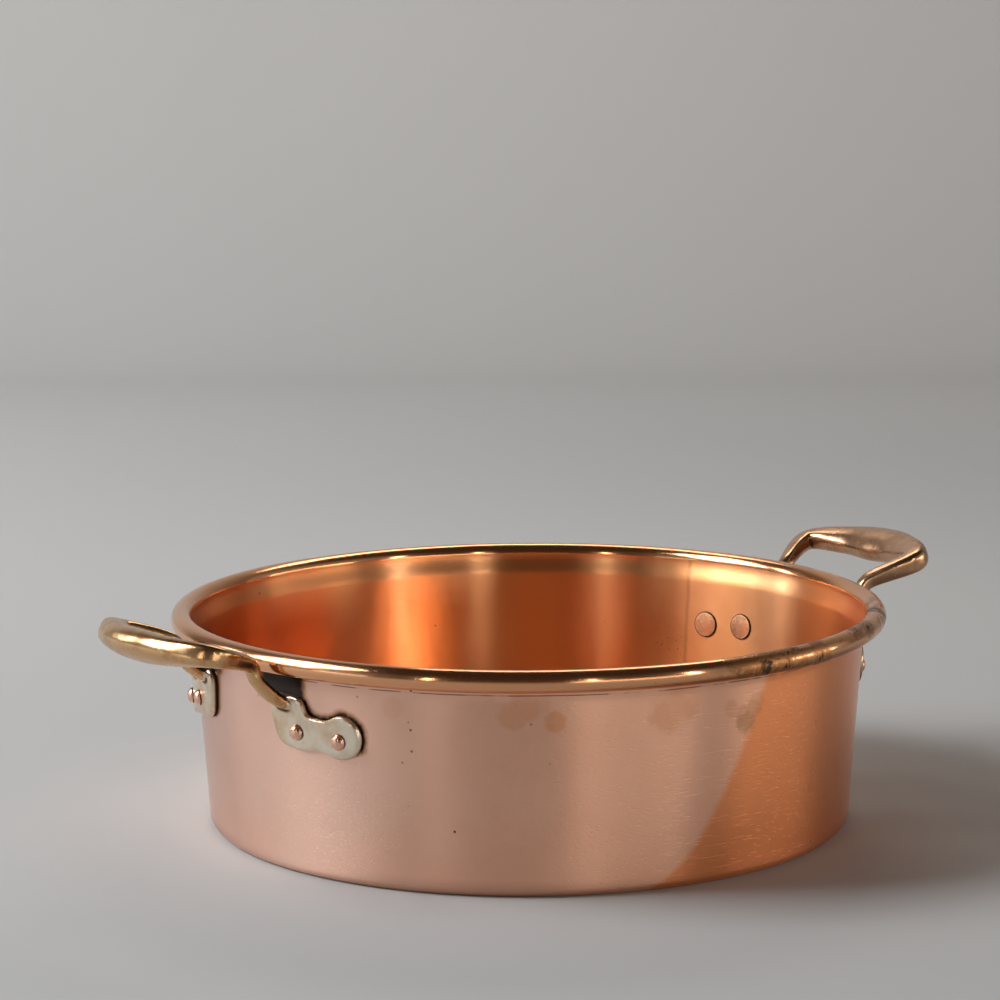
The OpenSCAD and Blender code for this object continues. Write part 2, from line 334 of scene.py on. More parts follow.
@dataclass(frozen=True)
class SheetCopper(Finish):
    """Polished copper sheet that has been handled: satin outside, smoother inside.

    Bearings are radians from +X about the pan's axis. A pair says where a mask starts and where it is full.
    """

    name: str = "sheet_copper"
    pink: tuple = colour(0.86, 0.555, 0.44)
    orange: tuple = colour(0.99, 0.55, 0.37)
    inside: tuple = colour(0.86, 0.43, 0.20)
    gilded: tuple = colour(0.80, 0.395, 0.185)
    deep_inside: tuple = colour(0.60, 0.23, 0.075)
    deep: tuple = colour(0.80, 0.37, 0.20)
    stained: tuple = colour(0.84, 0.36, 0.17)
    heated: tuple = colour(0.95, 0.30, 0.09)
    browned: tuple = colour(0.42, 0.19, 0.075)
    tarnish: tuple = colour(0.20, 0.09, 0.045)
    soot: tuple = colour(0.035, 0.028, 0.024)
    orange_from: tuple = (-2.9, -1.7)
    orange_to: tuple = (2.0, 0.6)
    deeper_right: tuple = ((0.06, 0.30), (0.80, 0.52), 0.75)
    deeper_left: tuple = ((1.35, 1.75), (60 * MM, 85 * MM), 0.65)
    heat_top: float = 95 * MM
    heat_turn: float = math.radians(23.2)
    heat_start: float = math.radians(-105.5)
    heat_edge: tuple = (-0.01, 0.03)
    heat_end: tuple = (-0.60, -0.90)
    burnt_from: tuple = (-1.75, -1.45)
    burnt_to: tuple = (-0.45, -0.70)
    wall_r: float = 177.4 * MM
    base_edge: tuple = (10 * MM, 0.5 * MM)
    crease_z: float = 101.8 * MM
    crease_w: tuple = (0.5 * MM, 0.12 * MM)
    crease_wander: float = 1.6 * MM
    pitted: tuple = (150.2 * MM, 84.1 * MM, 62 * MM)
    pitted_r: float = 13 * MM
    line_bearing: float = 0.455
    line_w: tuple = (0.010, 0.002)
    line_wander: float = 0.02
    brush_turns: float = 11.0
    brush_lines: float = 900.0
    brush_depth: float = 0.012 * MM
    dent_places: tuple = (30.0, 11.0)
    dent_depth: float = 0.3 * MM
    scratch_w: float = 0.9 * MM
    scratch_depth: float = 0.025 * MM
    scratch_sets: tuple = (
        ((0.4, 0.2, 0.9), 50 * MM, 0.72), ((1.3, 0.7, 2.2), 50 * MM, 0.72), ((0.1, 1.2, 0.3), 14 * MM, 0.70),
        ((0.9, 2.1, 1.4), 12 * MM, 0.70), ((2.3, 0.4, 1.9), 16 * MM, 0.71),
    )
    marks: tuple = (
        Mark(-34.4, 91.5 * MM, 7.8 * MM, 0.7), Mark(-32.6, 96.5 * MM, 8.5 * MM, 0.7),
        Mark(-27.9, 88.5 * MM, 5.8 * MM, 1.0), Mark(-30.0, 97.5 * MM, 5.0 * MM, 0.4),
        Mark(-53.5, 93.0 * MM, 6.0 * MM, 0.35), Mark(-7.0, 95.5 * MM, 9.5 * MM, 0.6),
        Mark(-10.0, 88.0 * MM, 8.5 * MM, 0.55),
    )
    smudges: tuple = (
        Mark(5.0, 80.5 * MM, 6.6 * MM, 0.75), Mark(4.2, 85.0 * MM, 5.2 * MM, 0.45),
        Mark(6.3, 86.2 * MM, 6.0 * MM, 0.5), Mark(2.2, 87.5 * MM, 5.6 * MM, 0.3),
        Mark(7.3, 90.5 * MM, 5.0 * MM, 0.3), Mark(-9.0, 91.0 * MM, 13.0 * MM, 0.2),
    )

    def paint(self, bench: Bench, shader: bpy.types.Node, place: Wire) -> None:
        """Feeds the shader. Args are as for any finish."""
        x, y, z = bench.split(place)
        bearing = bench.math("ARCTAN2", y, x)
        # near_foot is the grime and painted shade round the handles' feet and behind their legs.
        inside, bead, near_foot = (bench.mark(name) for name in ("inside", "bead", "grime"))
        outside, off_bead = 1.0 - inside, 1.0 - bead
        rings = bench.vector(x * self.brush_turns, y * self.brush_turns,
                             (bench.from_axis(x, y) + z) * self.brush_lines)
        brush = (bench.noise(rings, 1.0, 3.0, 0.6) - 0.5) * (1.0 - inside * 0.6) + 0.5
        cloud = bench.noise(place, 14.0, 4.0, 0.55, 3.0)
        spots = self.spots(bench, place)
        stain = self.stains(bench, place, self.marks) * outside
        smudge = self.stains(bench, place, self.smudges) * outside
        # Painted reflection of the pan's shadow on the floor, low on the right of the front.
        heat = self.heat(bench, bearing, z) * outside * off_bead
        burnt = self.rim_tarnish(bench, place, bearing) * bead
        edge = z.rise(*self.base_edge) * outside
        # Grime and painted shade round the feet, with ragged edges.
        grime = near_foot + (bench.noise(place, 170.0, 3.0, 0.6, 14.0) - 0.5) * 0.30
        crease = self.crease(bench, place, z) * outside * off_bead
        line = self.line(bench, place, bearing) * inside * off_bead
        # Painted light: the paler pink is on the side that faces the window lamp, and orange copper is on
        # the rest.
        away_from_window = bearing.rise(*self.orange_from) * bearing.rise(*self.orange_to)
        body = bench.blend(away_from_window, self.pink, self.orange)
        layers = (
            # The second layer is a painted reflection of the dark room on the inside.
            (inside, self.inside), (self.deeper(bearing, z) * inside, self.deep_inside),
            (bead * 0.9, self.gilded), (cloud.rise(0.42, 0.72) * 0.25, self.deep),
            # The redder layer low on the front is a painted reflection of the pan's shadow on the floor.
            (stain * 0.6, self.stained), (heat * 0.75, self.heated), (smudge * 0.7, self.browned),
            (edge * (cloud * 0.5 + 0.1), self.tarnish), (crease * 0.8, self.tarnish),
            (line * 0.35, self.tarnish), (spots * 0.9, self.soot),
            (burnt.rise(0.10, 0.5) * 0.85, self.browned), (burnt.rise(0.86, 1.0) * 0.9, self.soot),
            # These two layers are grime and painted shade round the feet and behind the legs.
            (grime.rise(0.66, 0.88) * 0.7, self.browned), (grime.rise(0.82, 0.97), self.soot),
        )
        for share, tone in layers:
            body = bench.blend(share, body, tone)
        scratched = self.scratches(bench, place) * (1.0 - inside * 0.5) * (1.0 - bead * 0.8)
        rough = (0.30 - inside * 0.015 - bead * 0.15 + (brush - 0.5) * 0.04 + cloud.rise(0.35, 0.75) * 0.04
                 + stain * 0.02 + burnt * 0.25 + spots * 0.2 + edge * 0.1 + scratched * 0.08
                 + grime.rise(0.66, 0.97) * 0.2)
        across, up = self.dent_places
        facets = bench.noise(bench.vector(x * across, y * across, z * up), 1.0, 1.5, 0.45, 8.0)
        dents = bench.bump(facets * (inside + 1.0), self.dent_depth)
        lines = bench.bump(brush, self.brush_depth, dents)
        normal = bench.bump(1.0 - scratched - spots * 0.5, self.scratch_depth, lines)
        bench.dress(shader, body, rough, normal)
        bench.brushed_round(shader, 0.85)

    def scratches(self, bench: Bench, place: Wire) -> Wire:
        """Fine stray scratches, long and short and in several directions, as a mask."""
        found: Wire | None = None
        for turn, length, rare in self.scratch_sets:
            scale = (1 / length, 1 / self.scratch_w, 1 / self.scratch_w)
            laid = bench.wire("ShaderNodeMapping", {"Vector": place, "Rotation": turn, "Scale": scale})
            line = bench.noise(laid, 1.0, 0.0, 0.0, turn[2]).rise(rare, rare + 0.08)
            found = line if found is None else found.most(line)
        return found

    def spots(self, bench: Bench, place: Wire) -> Wire:
        """Small dark pits, far apart and in loose groups, as a mask."""
        chosen = bench.noise(place, 11.0, 3.0, 0.6, 5.0).rise(0.54, 0.68)
        away = bench.distance(place, self.pitted)
        nest = (away / self.pitted_r + bench.noise(place, 120.0, 2.0, 0.6, 5.0) - 0.5).rise(1.0, 0.5)
        few = bench.cells(place, 95.0).rise(0.085, 0.04) * chosen
        return few.most(bench.cells(place, 290.0).rise(0.19, 0.11) * nest)

    def stains(self, bench: Bench, place: Wire, marks: Sequence[Mark]) -> Wire:
        """Marks with uneven edges, as a mask."""
        ragged = bench.noise(place, 120.0, 4.0, 0.7, 2.0)
        found: Wire | None = None
        for mark in marks:
            turn = math.radians(mark.bearing_deg - 90)
            middle = (self.wall_r * math.cos(turn), self.wall_r * math.sin(turn), mark.height)
            away = bench.distance(place, middle)
            soft = (away / mark.size + (ragged - 0.5) * 1.3).rise(1.15, 0.65) * mark.strength
            found = soft if found is None else found.most(soft)
        return found * (bench.noise(place, 260.0, 2.0, 0.6, 4.0) * 0.5 + 0.75)

    def deeper(self, bearing: Wire, z: Wire) -> Wire:
        """Painted reflection of the dark room: the more deeply coloured parts of the inside, beside two
        rivets and high on the left, as a mask.
        """
        start, end, strength = self.deeper_right
        right = bearing.rise(*start) * bearing.rise(*end) * strength
        start, height, strength = self.deeper_left
        left = bearing.rise(*start) * z.rise(*height) * strength
        return right.most(left)

    def heat(self, bench: Bench, bearing: Wire, z: Wire) -> Wire:
        """Painted reflection of the pan's shadow on the floor: redder copper low on the right of the front,
        with a curved edge, as a mask.
        """
        start = bench.math("SQRT", z.most(0.0) / self.heat_top) * self.heat_turn + self.heat_start
        return (bearing - start).rise(*self.heat_edge) * bearing.rise(*self.heat_end)

    def crease(self, bench: Bench, place: Wire, z: Wire) -> Wire:
        """The thin dark line where the wall starts to sweep out, as a mask."""
        wander = (bench.noise(place, 9.0, 2.0, 0.5, 7.0) - 0.5) * self.crease_wander
        broken = bench.noise(place, 60.0, 3.0, 0.6, 9.0).rise(0.36, 0.52)
        return bench.math("ABSOLUTE", z - self.crease_z + wander).rise(*self.crease_w) * broken

    def line(self, bench: Bench, place: Wire, bearing: Wire) -> Wire:
        """A faint dark line down the inside, as a mask."""
        wander = (bench.noise(place, 40.0, 2.0, 0.6, 12.0) - 0.5) * self.line_wander
        return bench.math("ABSOLUTE", bearing + wander - self.line_bearing).rise(*self.line_w)

    def rim_tarnish(self, bench: Bench, place: Wire, bearing: Wire) -> Wire:
        """Burnt patches along one stretch of the rim, as a mask of 0 to 1."""
        patches = bench.noise(place, 62.0, 4.0, 0.62, 6.5, 0.4).rise(0.44, 0.66)
        return patches * bearing.rise(*self.burnt_from) * bearing.rise(*self.burnt_to)


@dataclass(frozen=True)
class CastBrass(Finish):
    """Pale polished cast brass with brown grime where a cloth doesn't reach, and painted shade next to the
    wall and on the sides that face it.

    The grips are more golden than the feet, whose paler tone is a painted reflection of the pale floor and
    window. foot_face says where that starts and ends, as the radius of the cone, parallel to the wall, on
    which a place lies.
    """

    name: str = "cast_brass"
    pale: tuple = colour(0.83, 0.74, 0.60)
    golden: tuple = colour(0.66, 0.385, 0.165)
    browned: tuple = colour(0.42, 0.205, 0.085)
    grime: tuple = colour(0.075, 0.045, 0.022)
    foot_face: tuple = (175.0 * MM, 177.2 * MM)
    lump_depth: float = 0.22 * MM
    pit_depth: float = 0.04 * MM

    def paint(self, bench: Bench, shader: bpy.types.Node, place: Wire) -> None:
        """Feeds the shader. Args are as for any finish."""
        cloud = bench.noise(place, 45.0, 4.0, 0.6, 1.0)
        grain = bench.noise(place, 900.0, 2.0, 0.6, 2.0)
        patches = bench.noise(place, 80.0, 3.0, 0.6, 6.0).rise(0.44, 0.68)
        # Grime where a cloth doesn't reach, and painted shade next to the wall and on sides that face it,
        # from the hollow mark.
        dirt_and_shade = (bench.mark("hollow") + (cloud - 0.5) * 0.5).rise(0.22, 0.72)
        # The paler feet are a painted reflection of the pale floor and window; held rises away from the
        # feet.
        held = bench.off_cone(place).rise(*self.foot_face)
        body = bench.blend((held * 0.9).most(cloud.rise(0.42, 0.72) * 0.6), self.pale, self.golden)
        body = bench.blend(patches * (held * 0.4 + 0.3), body, self.browned)
        body = bench.blend(dirt_and_shade * 0.92, body, self.grime)
        rough = 0.26 - held * 0.05 + cloud.rise(0.4, 0.8) * 0.10 + grain * 0.05 + dirt_and_shade * 0.3
        lumps = bench.bump(bench.noise(place, 130.0, 2.0, 0.5, 3.0) * (2.2 - held), self.lump_depth)
        pits = bench.cells(place, 420.0).rise(0.0, 0.16)
        bench.dress(shader, body, rough, bench.bump(pits + grain * 0.3, self.pit_depth, lumps))


@dataclass(frozen=True)
class RivetCopper(Finish):
    """Hammered copper with a dark ring where it meets the piece that it holds."""

    name: str = "rivet_copper"
    bright: tuple = colour(0.86, 0.50, 0.37)
    head: tuple = colour(0.92, 0.50, 0.27)
    grime: tuple = colour(0.06, 0.035, 0.025)
    head_face: tuple = (171.2 * MM, 172.5 * MM)
    hammering: float = 0.04 * MM

    def paint(self, bench: Bench, shader: bpy.types.Node, place: Wire) -> None:
        """Feeds the shader. Args are as for any finish."""
        cloud = bench.noise(place, 300.0, 3.0, 0.6, 1.0)
        dirt_and_shade = (bench.mark("hollow") + (cloud - 0.5) * 0.4).rise(0.35, 0.8)
        copper = bench.blend(bench.off_cone(place).rise(*self.head_face), self.head, self.bright)
        rough = 0.22 + cloud * 0.10 + dirt_and_shade * 0.35
        bench.dress(shader, bench.blend(dirt_and_shade, copper, self.grime), rough, bench.bump(cloud, self.hammering))
        bench.brushed_round(shader, 0.7)


@dataclass(frozen=True)
class IronWire(Finish):
    """Black iron wire, as it is inside the rolled rim."""

    name: str = "iron_wire"
    scale_black: tuple = colour(0.045, 0.042, 0.04)
    rust: tuple = colour(0.14, 0.055, 0.025)
    metallic: float = 0.7
    scale_depth: float = 0.1 * MM

    def paint(self, bench: Bench, shader: bpy.types.Node, place: Wire) -> None:
        """Feeds the shader. Args are as for any finish."""
        cloud = bench.noise(place, 220.0, 4.0, 0.6, 1.0)
        body = bench.blend(cloud.rise(0.52, 0.7), self.scale_black, self.rust)
        bench.dress(shader, body, 0.5 + cloud * 0.3, bench.bump(cloud, self.scale_depth), self.metallic)


@dataclass(frozen=True)
class PalePaint(Finish):
    """Plain matt paint of the floor and the backdrop, paler further off behind the pan."""

    name: str = "pale_paint"
    tone: tuple = colour(0.50, 0.493, 0.49)
    cloudy: tuple = colour(0.46, 0.46, 0.46)
    far_tone: tuple = colour(0.74, 0.72, 0.70)
    far_turn: float = ROW_TURN
    far: tuple = (0.2, 2.0)

    def paint(self, bench: Bench, shader: bpy.types.Node, place: Wire) -> None:
        """Feeds the shader. Args are as for any finish."""
        cloud = bench.noise(place, 3.0, 2.0, 0.5, 1.0)
        x, y, _ = bench.split(place)
        away = (x * math.sin(self.far_turn) + y * math.cos(self.far_turn)).rise(*self.far)
        tone = bench.blend(away, self.tone, self.far_tone)
        bench.dress(shader, bench.blend(cloud * 0.08, tone, self.cloudy), 0.75 + cloud * 0.1, metallic=0.0)


class Turning:
    """A geometry tree with named inputs, which ends in Realize Instances and Set Material."""

    FINISH = "Finish"
    MERGED = 2e-6
    HALF_STEP = 1e-4

    def __init__(self, name: str, sizes: Sequence[str]) -> None:
        """Starts the tree.

        Args:
            name: The tree's name.
            sizes: The names of its inputs, each a number.
        """
        self.tree = bpy.data.node_groups.new(name, "GeometryNodeTree")
        self.tree.is_modifier = True
        face = self.tree.interface
        face.new_socket("Geometry", in_out="INPUT", socket_type="NodeSocketGeometry")
        for label in sizes:
            face.new_socket(label, in_out="INPUT", socket_type="NodeSocketFloat")
        face.new_socket(self.FINISH, in_out="INPUT", socket_type="NodeSocketMaterial")
        face.new_socket("Geometry", in_out="OUTPUT", socket_type="NodeSocketGeometry")
        self.bench = Bench(self.tree)
        self.start = self.bench.node("NodeGroupInput")

    def given(self, label: str) -> Wire:
        """A named input as a wire."""
        return Wire(self.bench, pick(self.start.outputs, label))

    def lathe(self, rows: "Wire | int", segments: Wire, radius: Wire, height: Wire,
              dents: Wire | None = None) -> Wire:
        """Turns rows of a grid about Z, so that it closes round the axis.

        Args:
            rows: Number of points in the outline.
            segments: Number of steps round the axis.
            radius: Radius at the row that a point is in.
            height: Height at that row.
            dents: What is added to the radius, if anything.

        Returns:
            The closed and smooth mesh.
        """
        bench = self.bench
        grid = bench.wire("GeometryNodeMeshGrid", {"Vertices X": rows, "Vertices Y": segments + 1.0})
        turn = self.column(segments) / segments * math.tau
        across = radius if dents is None else radius + dents
        spun = bench.vector(across * bench.math("COSINE", turn), across * bench.math("SINE", turn), height)
        turned = bench.wire("GeometryNodeSetPosition", {"Geometry": grid, "Position": spun})
        closed = bench.wire("GeometryNodeMergeByDistance", {"Geometry": turned, "Distance": self.MERGED})
        return bench.wire("GeometryNodeSetShadeSmooth", {"Geometry": closed, "Shade Smooth": True})

    def row(self, segments: Wire) -> Wire:
        """The outline point that a grid point belongs to."""
        index = self.bench.wire("GeometryNodeInputIndex")
        return self.bench.math("FLOOR", index / (segments + 1.0) + self.HALF_STEP)

    def column(self, segments: Wire) -> Wire:
        """The step round the axis that a grid point belongs to."""
        return self.bench.wire("GeometryNodeInputIndex") - self.row(segments) * (segments + 1.0)

    def close(self, geometry: Wire) -> None:
        """Ends the tree with real geometry and its finish."""
        real = self.bench.wire("GeometryNodeRealizeInstances", {"Geometry": geometry})
        dressed = self.bench.wire("GeometryNodeSetMaterial", {
            "Geometry": real, "Material": self.given(self.FINISH)})
        self.bench.node("NodeGroupOutput", {"Geometry": dressed})

    def bake(self, source: bpy.types.Object, name: str, values: dict[str, Any]) -> bpy.types.Object:
        """Runs the tree on an object and keeps the result as a plain mesh.

        Args:
            source: The object that the tree starts from. It is removed.
            name: Name of the piece.
            values: A value for each named input.

        Returns:
            The piece.
        """
        modifier = source.modifiers.new("turning", "NODES")
        modifier.node_group = self.tree
        for item in self.tree.interface.items_tree:
            if item.in_out == "INPUT" and item.name in values:
                modifier[item.identifier] = values[item.name]
        depsgraph = bpy.context.evaluated_depsgraph_get()
        mesh = bpy.data.meshes.new_from_object(
            source.evaluated_get(depsgraph), preserve_all_data_layers=True, depsgraph=depsgraph)
        bpy.data.objects.remove(source)
        return place_piece(name, mesh)


def place_piece(name: str, mesh: bpy.types.Mesh) -> bpy.types.Object:
    """Puts a mesh into the scene at the origin, under this name."""
    mesh.name = name
    piece = bpy.data.objects.new(name, mesh)
    bpy.context.scene.collection.objects.link(piece)
    return piece


def bare_mesh(name: str, points: np.ndarray, faces: Sequence[Sequence[int]] = ()) -> bpy.types.Mesh:
    """A mesh of these points and faces."""
    mesh = bpy.data.meshes.new(name)
    mesh.from_pydata([tuple(p) for p in points], [], [tuple(f) for f in faces])
    mesh.update()
    return mesh


def set_attribute(mesh: bpy.types.Mesh, name: str, values: np.ndarray) -> None:
    """Stores a number at each point of a mesh."""
    layer = mesh.attributes.new(name, "FLOAT", "POINT")
    layer.data.foreach_set("value", np.asarray(values, np.float32))


def enclosed(mesh: bpy.types.Mesh) -> float:
    """The volume that a closed mesh encloses, which is above 0 when its faces point outwards."""
    mesh.calc_loop_triangles()
    points = np.array([v.co for v in mesh.vertices])
    corners = points[np.array([t.vertices for t in mesh.loop_triangles])]
    return float(np.einsum("ij,ij->i", corners[:, 0], np.cross(corners[:, 1], corners[:, 2])).sum() / 6)


def hand_over(piece: bpy.types.Object, node: str) -> bpy.types.Object:
    """Makes sure that a piece's faces point outwards, hangs it under the root body and hides the solid that
    it stands for.

    Args:
        piece: The finished piece.
        node: The solid that it replaces.

    Returns:
        The piece.
    """
    if enclosed(piece.data) < 0:
        piece.data.flip_normals()
    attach(piece, "root")
    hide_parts(node)
    return piece


def arc(centre: tuple[float, float], radius: float, start: float, end: float, steps: int) -> np.ndarray:
    """Points round an arc.

    Args:
        centre: Its middle.
        radius: Its radius.
        start: Angle of the first point.
        end: Angle of the last point.
        steps: Number of steps between them.

    Returns:
        One row for each point.
    """
    turn = np.linspace(start, end, steps + 1)
    return np.column_stack([centre[0] + radius * np.cos(turn), centre[1] + radius * np.sin(turn)])


def straight(start: Sequence[float], end: Sequence[float], steps: int) -> np.ndarray:
    """Points along a straight line, both ends included."""
    return np.linspace(start, end, steps + 1)


@dataclass(frozen=True)
class Sheet:
    """Shape of the copper sheet: a turned vessel whose rim is rolled over a wire."""

    rim_d: float
    height: float
    thickness: float = 1.5 * MM
    lean: float = 6.6 * MM
    corner: float = 5 * MM
    neck_h: float = 12 * MM
    neck_out: float = 2.5 * MM
    wire_d: float = 8 * MM
    wire_fit: float = 0.05 * MM
    seam_gap: float = 0.2 * MM
    base_steps: int = 12
    corner_steps: int = 10
    wall_steps: int = 36
    neck_steps: int = 14
    hollow_steps: int = 24
    seam_steps: int = 3
    bead_steps: int = 64
    inner_steps: int = 20

    @classmethod
    def from_frame(cls) -> "Sheet":
        """The sheet at the size that its solid has."""
        low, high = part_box("pan_body")
        return cls(rim_d=round(max(high.x - low.x, high.y - low.y), 3), height=round(high.z, 4))

    @property
    def hollow_r(self) -> float:
        """Radius of the hollow that the wire lies in."""
        return self.wire_d / 2 + self.wire_fit

    @property
    def bead_r(self) -> float:
        """Outside radius of the rolled rim's section."""
        return self.hollow_r + self.thickness

    @property
    def ring_r(self) -> float:
        """Distance of the wire's middle from the pan's axis."""
        return self.rim_d / 2 - self.bead_r

    @property
    def rim_z(self) -> float:
        """Height of the wire's middle."""
        return self.height - self.bead_r

    @property
    def neck_z(self) -> float:
        """Height where the wall starts to sweep out."""
        return self.rim_z - self.neck_h

    @property
    def neck_r(self) -> float:
        """Outside radius at that height."""
        return self.ring_r - self.hollow_r - self.neck_out

    @property
    def slope(self) -> float:
        """How far the wall leans out for each metre up."""
        return self.lean / (self.neck_z - self.corner)

    def wall_r(self, z: float | np.ndarray) -> float | np.ndarray:
        """Outside radius of the straight wall at a height."""
        return self.neck_r - (self.neck_z - z) * self.slope

    def neck(self, offset: float, steps: int) -> np.ndarray:
        """The sweep from the wall up to the rim.

        Args:
            offset: How far inside the outer surface it lies.
            steps: Number of steps.

        Returns:
            Its points from the wall to the rim.
        """
        third, top_r = self.neck_h / 3, self.ring_r - self.hollow_r
        hold = np.array([[self.neck_r, self.neck_z], [self.neck_r + third * self.slope, self.neck_z + third],
                         [top_r, self.rim_z - third], [top_r, self.rim_z]])
        t = np.linspace(0, 1, steps + 1)[:, None]
        line = ((1 - t) ** 3 * hold[0] + 3 * (1 - t) ** 2 * t * hold[1] + 3 * (1 - t) * t * t * hold[2]
                + t ** 3 * hold[3])
        return line - [offset, 0]

    def outline(self) -> tuple[np.ndarray, np.ndarray, np.ndarray]:
        """The sheet's whole outline, from under the base round the rim to the inside of the base.

        Returns:
            Radius and height of each point, a mark from 0 outside to 1 inside, and a mark of 1
            on the rolled rim.
        """
        lean = math.atan(self.slope)
        axis_r = self.wall_r(self.corner) - self.corner * math.cos(lean)
        centre, ring = (axis_r, self.corner), (self.ring_r, self.rim_z)
        roll_end = math.acos((self.hollow_r - self.seam_gap) / self.bead_r) - math.pi
        inner_corner = arc(centre, self.corner - self.thickness, -math.pi / 2, -lean, self.corner_steps)
        corner = arc(centre, self.corner, -math.pi / 2, -lean, self.corner_steps)
        neck, inner_neck = self.neck(0, self.neck_steps), self.neck(self.thickness, self.neck_steps)
        hollow = arc(ring, self.hollow_r, math.pi, roll_end, self.hollow_steps)
        bead = arc(ring, self.bead_r, roll_end, math.pi, self.bead_steps)
        base = straight((0, 0), corner[0], self.base_steps)
        wall = straight(corner[-1], neck[0], self.wall_steps)
        edge = straight(hollow[-1], bead[0], self.seam_steps)
        inner_wall = straight(inner_neck[0], inner_corner[-1], self.inner_steps)
        inner_base = straight(inner_corner[0], (0, self.thickness), self.base_steps)
        parts = [
            (base[:-1], 0, 0), (corner[:-1], 0, 0), (wall[:-1], 0, 0), (neck[:-1], 0, 0),
            (hollow, 0, 1), (edge[1:-1], 0, 1), (bead[:-1], 0, 1),
            (inner_neck[::-1], 1, 0), (inner_wall[1:-1], 1, 0), (inner_corner[::-1], 1, 0),
            (inner_base[1:], 1, 0),
        ]
        points = np.vstack([p for p, _, _ in parts])
        inside = np.concatenate([np.full(len(p), float(i)) for p, i, _ in parts])
        rolled = np.concatenate([np.full(len(p), float(b)) for p, _, b in parts])
        return points, inside, rolled


@dataclass
class PanBody:
    """The copper vessel."""

    sheet: Sheet
    handles: "tuple[Handle, ...]"
    segments: int = 400
    dent_depth: float = 0.35 * MM
    dent_scale: float = 14.0
    seed: float = 11.0
    pattern_r: float = 180 * MM
    even_by_feet: tuple = (0.88, 0.76)

    def tree(self) -> Turning:
        """The geometry tree that turns the sheet's outline and gives it its slight unevenness.

        Returns:
            The finished tree.
        """
        made = Turning("turned_sheet", (
            "Segments", "Dent Depth", "Dent Scale", "Seed", "Wall Foot", "Wall Top"))
        bench, outline, segments = made.bench, made.given("Geometry"), made.given("Segments")
        rows = bench.wire("GeometryNodeAttributeDomainSize", {"Geometry": outline}, out="Point Count")
        row = made.row(segments)
        place = bench.wire("GeometryNodeSampleIndex", {
            "Geometry": outline, "Value": bench.wire("GeometryNodeInputPosition"), "Index": row},
            data_type="FLOAT_VECTOR", domain="POINT")
        radius, _, height = bench.split(place)
        turn = made.column(segments) / segments * math.tau
        ahead, aside = bench.math("COSINE", turn), bench.math("SINE", turn)
        round_wall = bench.vector(ahead * self.pattern_r, aside * self.pattern_r, height)
        uneven = bench.wire("ShaderNodeTexNoise", {
            "Vector": round_wall, "Scale": made.given("Dent Scale"), "Detail": 1.0, "W": made.given("Seed")},
            noise_dimensions="4D") - 0.5
        free = bench.math("ABSOLUTE", ahead).rise(*self.even_by_feet)
        foot, top = made.given("Wall Foot"), made.given("Wall Top")
        wall_share = ((height - foot) / foot).rise(0.0, 1.0) * ((top - height) / foot).rise(0.0, 1.0)
        dents = uneven * made.given("Dent Depth") * free * wall_share
        made.close(made.lathe(rows, segments, radius, height, dents))
        return made

    def build(self, finish: bpy.types.Material) -> bpy.types.Object:
        """Makes the vessel.

        Args:
            finish: Its copper.

        Returns:
            The piece, which replaces the solid.
        """
        points, inside, rolled = self.sheet.outline()
        flat = np.column_stack([points[:, 0], np.zeros(len(points)), points[:, 1]])
        source = place_piece("sheet_outline", bare_mesh("sheet_outline", flat))
        piece = self.tree().bake(source, "copper_pan", {
            "Segments": float(self.segments), "Dent Depth": self.dent_depth, "Dent Scale": self.dent_scale,
            "Seed": self.seed, "Wall Foot": self.sheet.corner * 3, "Wall Top": self.sheet.neck_z,
            Turning.FINISH: finish})
        self.mark_sides(piece.data, points, inside, rolled)
        return hand_over(piece, "pan_body")

    def mark_sides(self, mesh: bpy.types.Mesh, points: np.ndarray, inside: np.ndarray,
                   rolled: np.ndarray) -> None:
        """Stores which points are inside, which are on the rolled rim and where grime and painted shade go.

        Args:
            mesh: The vessel's mesh.
            points: The outline that it was turned from.
            inside: Mark of each outline point.
            rolled: Mark of each outline point.
        """
        places = np.array([v.co for v in mesh.vertices])
        at = np.column_stack([np.hypot(places[:, 0], places[:, 1]), places[:, 2]])
        nearest = np.array([np.argmin(((points - p) ** 2).sum(1)) for p in at])
        over_top = np.clip((self.sheet.ring_r - at[:, 0]) / self.sheet.bead_r, 0, 1)
        inside, rolled = inside[nearest], rolled[nearest]
        grime = np.max([handle.grime_behind(places) for handle in self.handles], axis=0)
        set_attribute(mesh, "inside", np.where(rolled > 0, over_top * (at[:, 1] > self.sheet.rim_z), inside))
        set_attribute(mesh, "bead", rolled)
        set_attribute(mesh, "grime", np.where((rolled > 0) | (inside > 0), 0.0, grime))


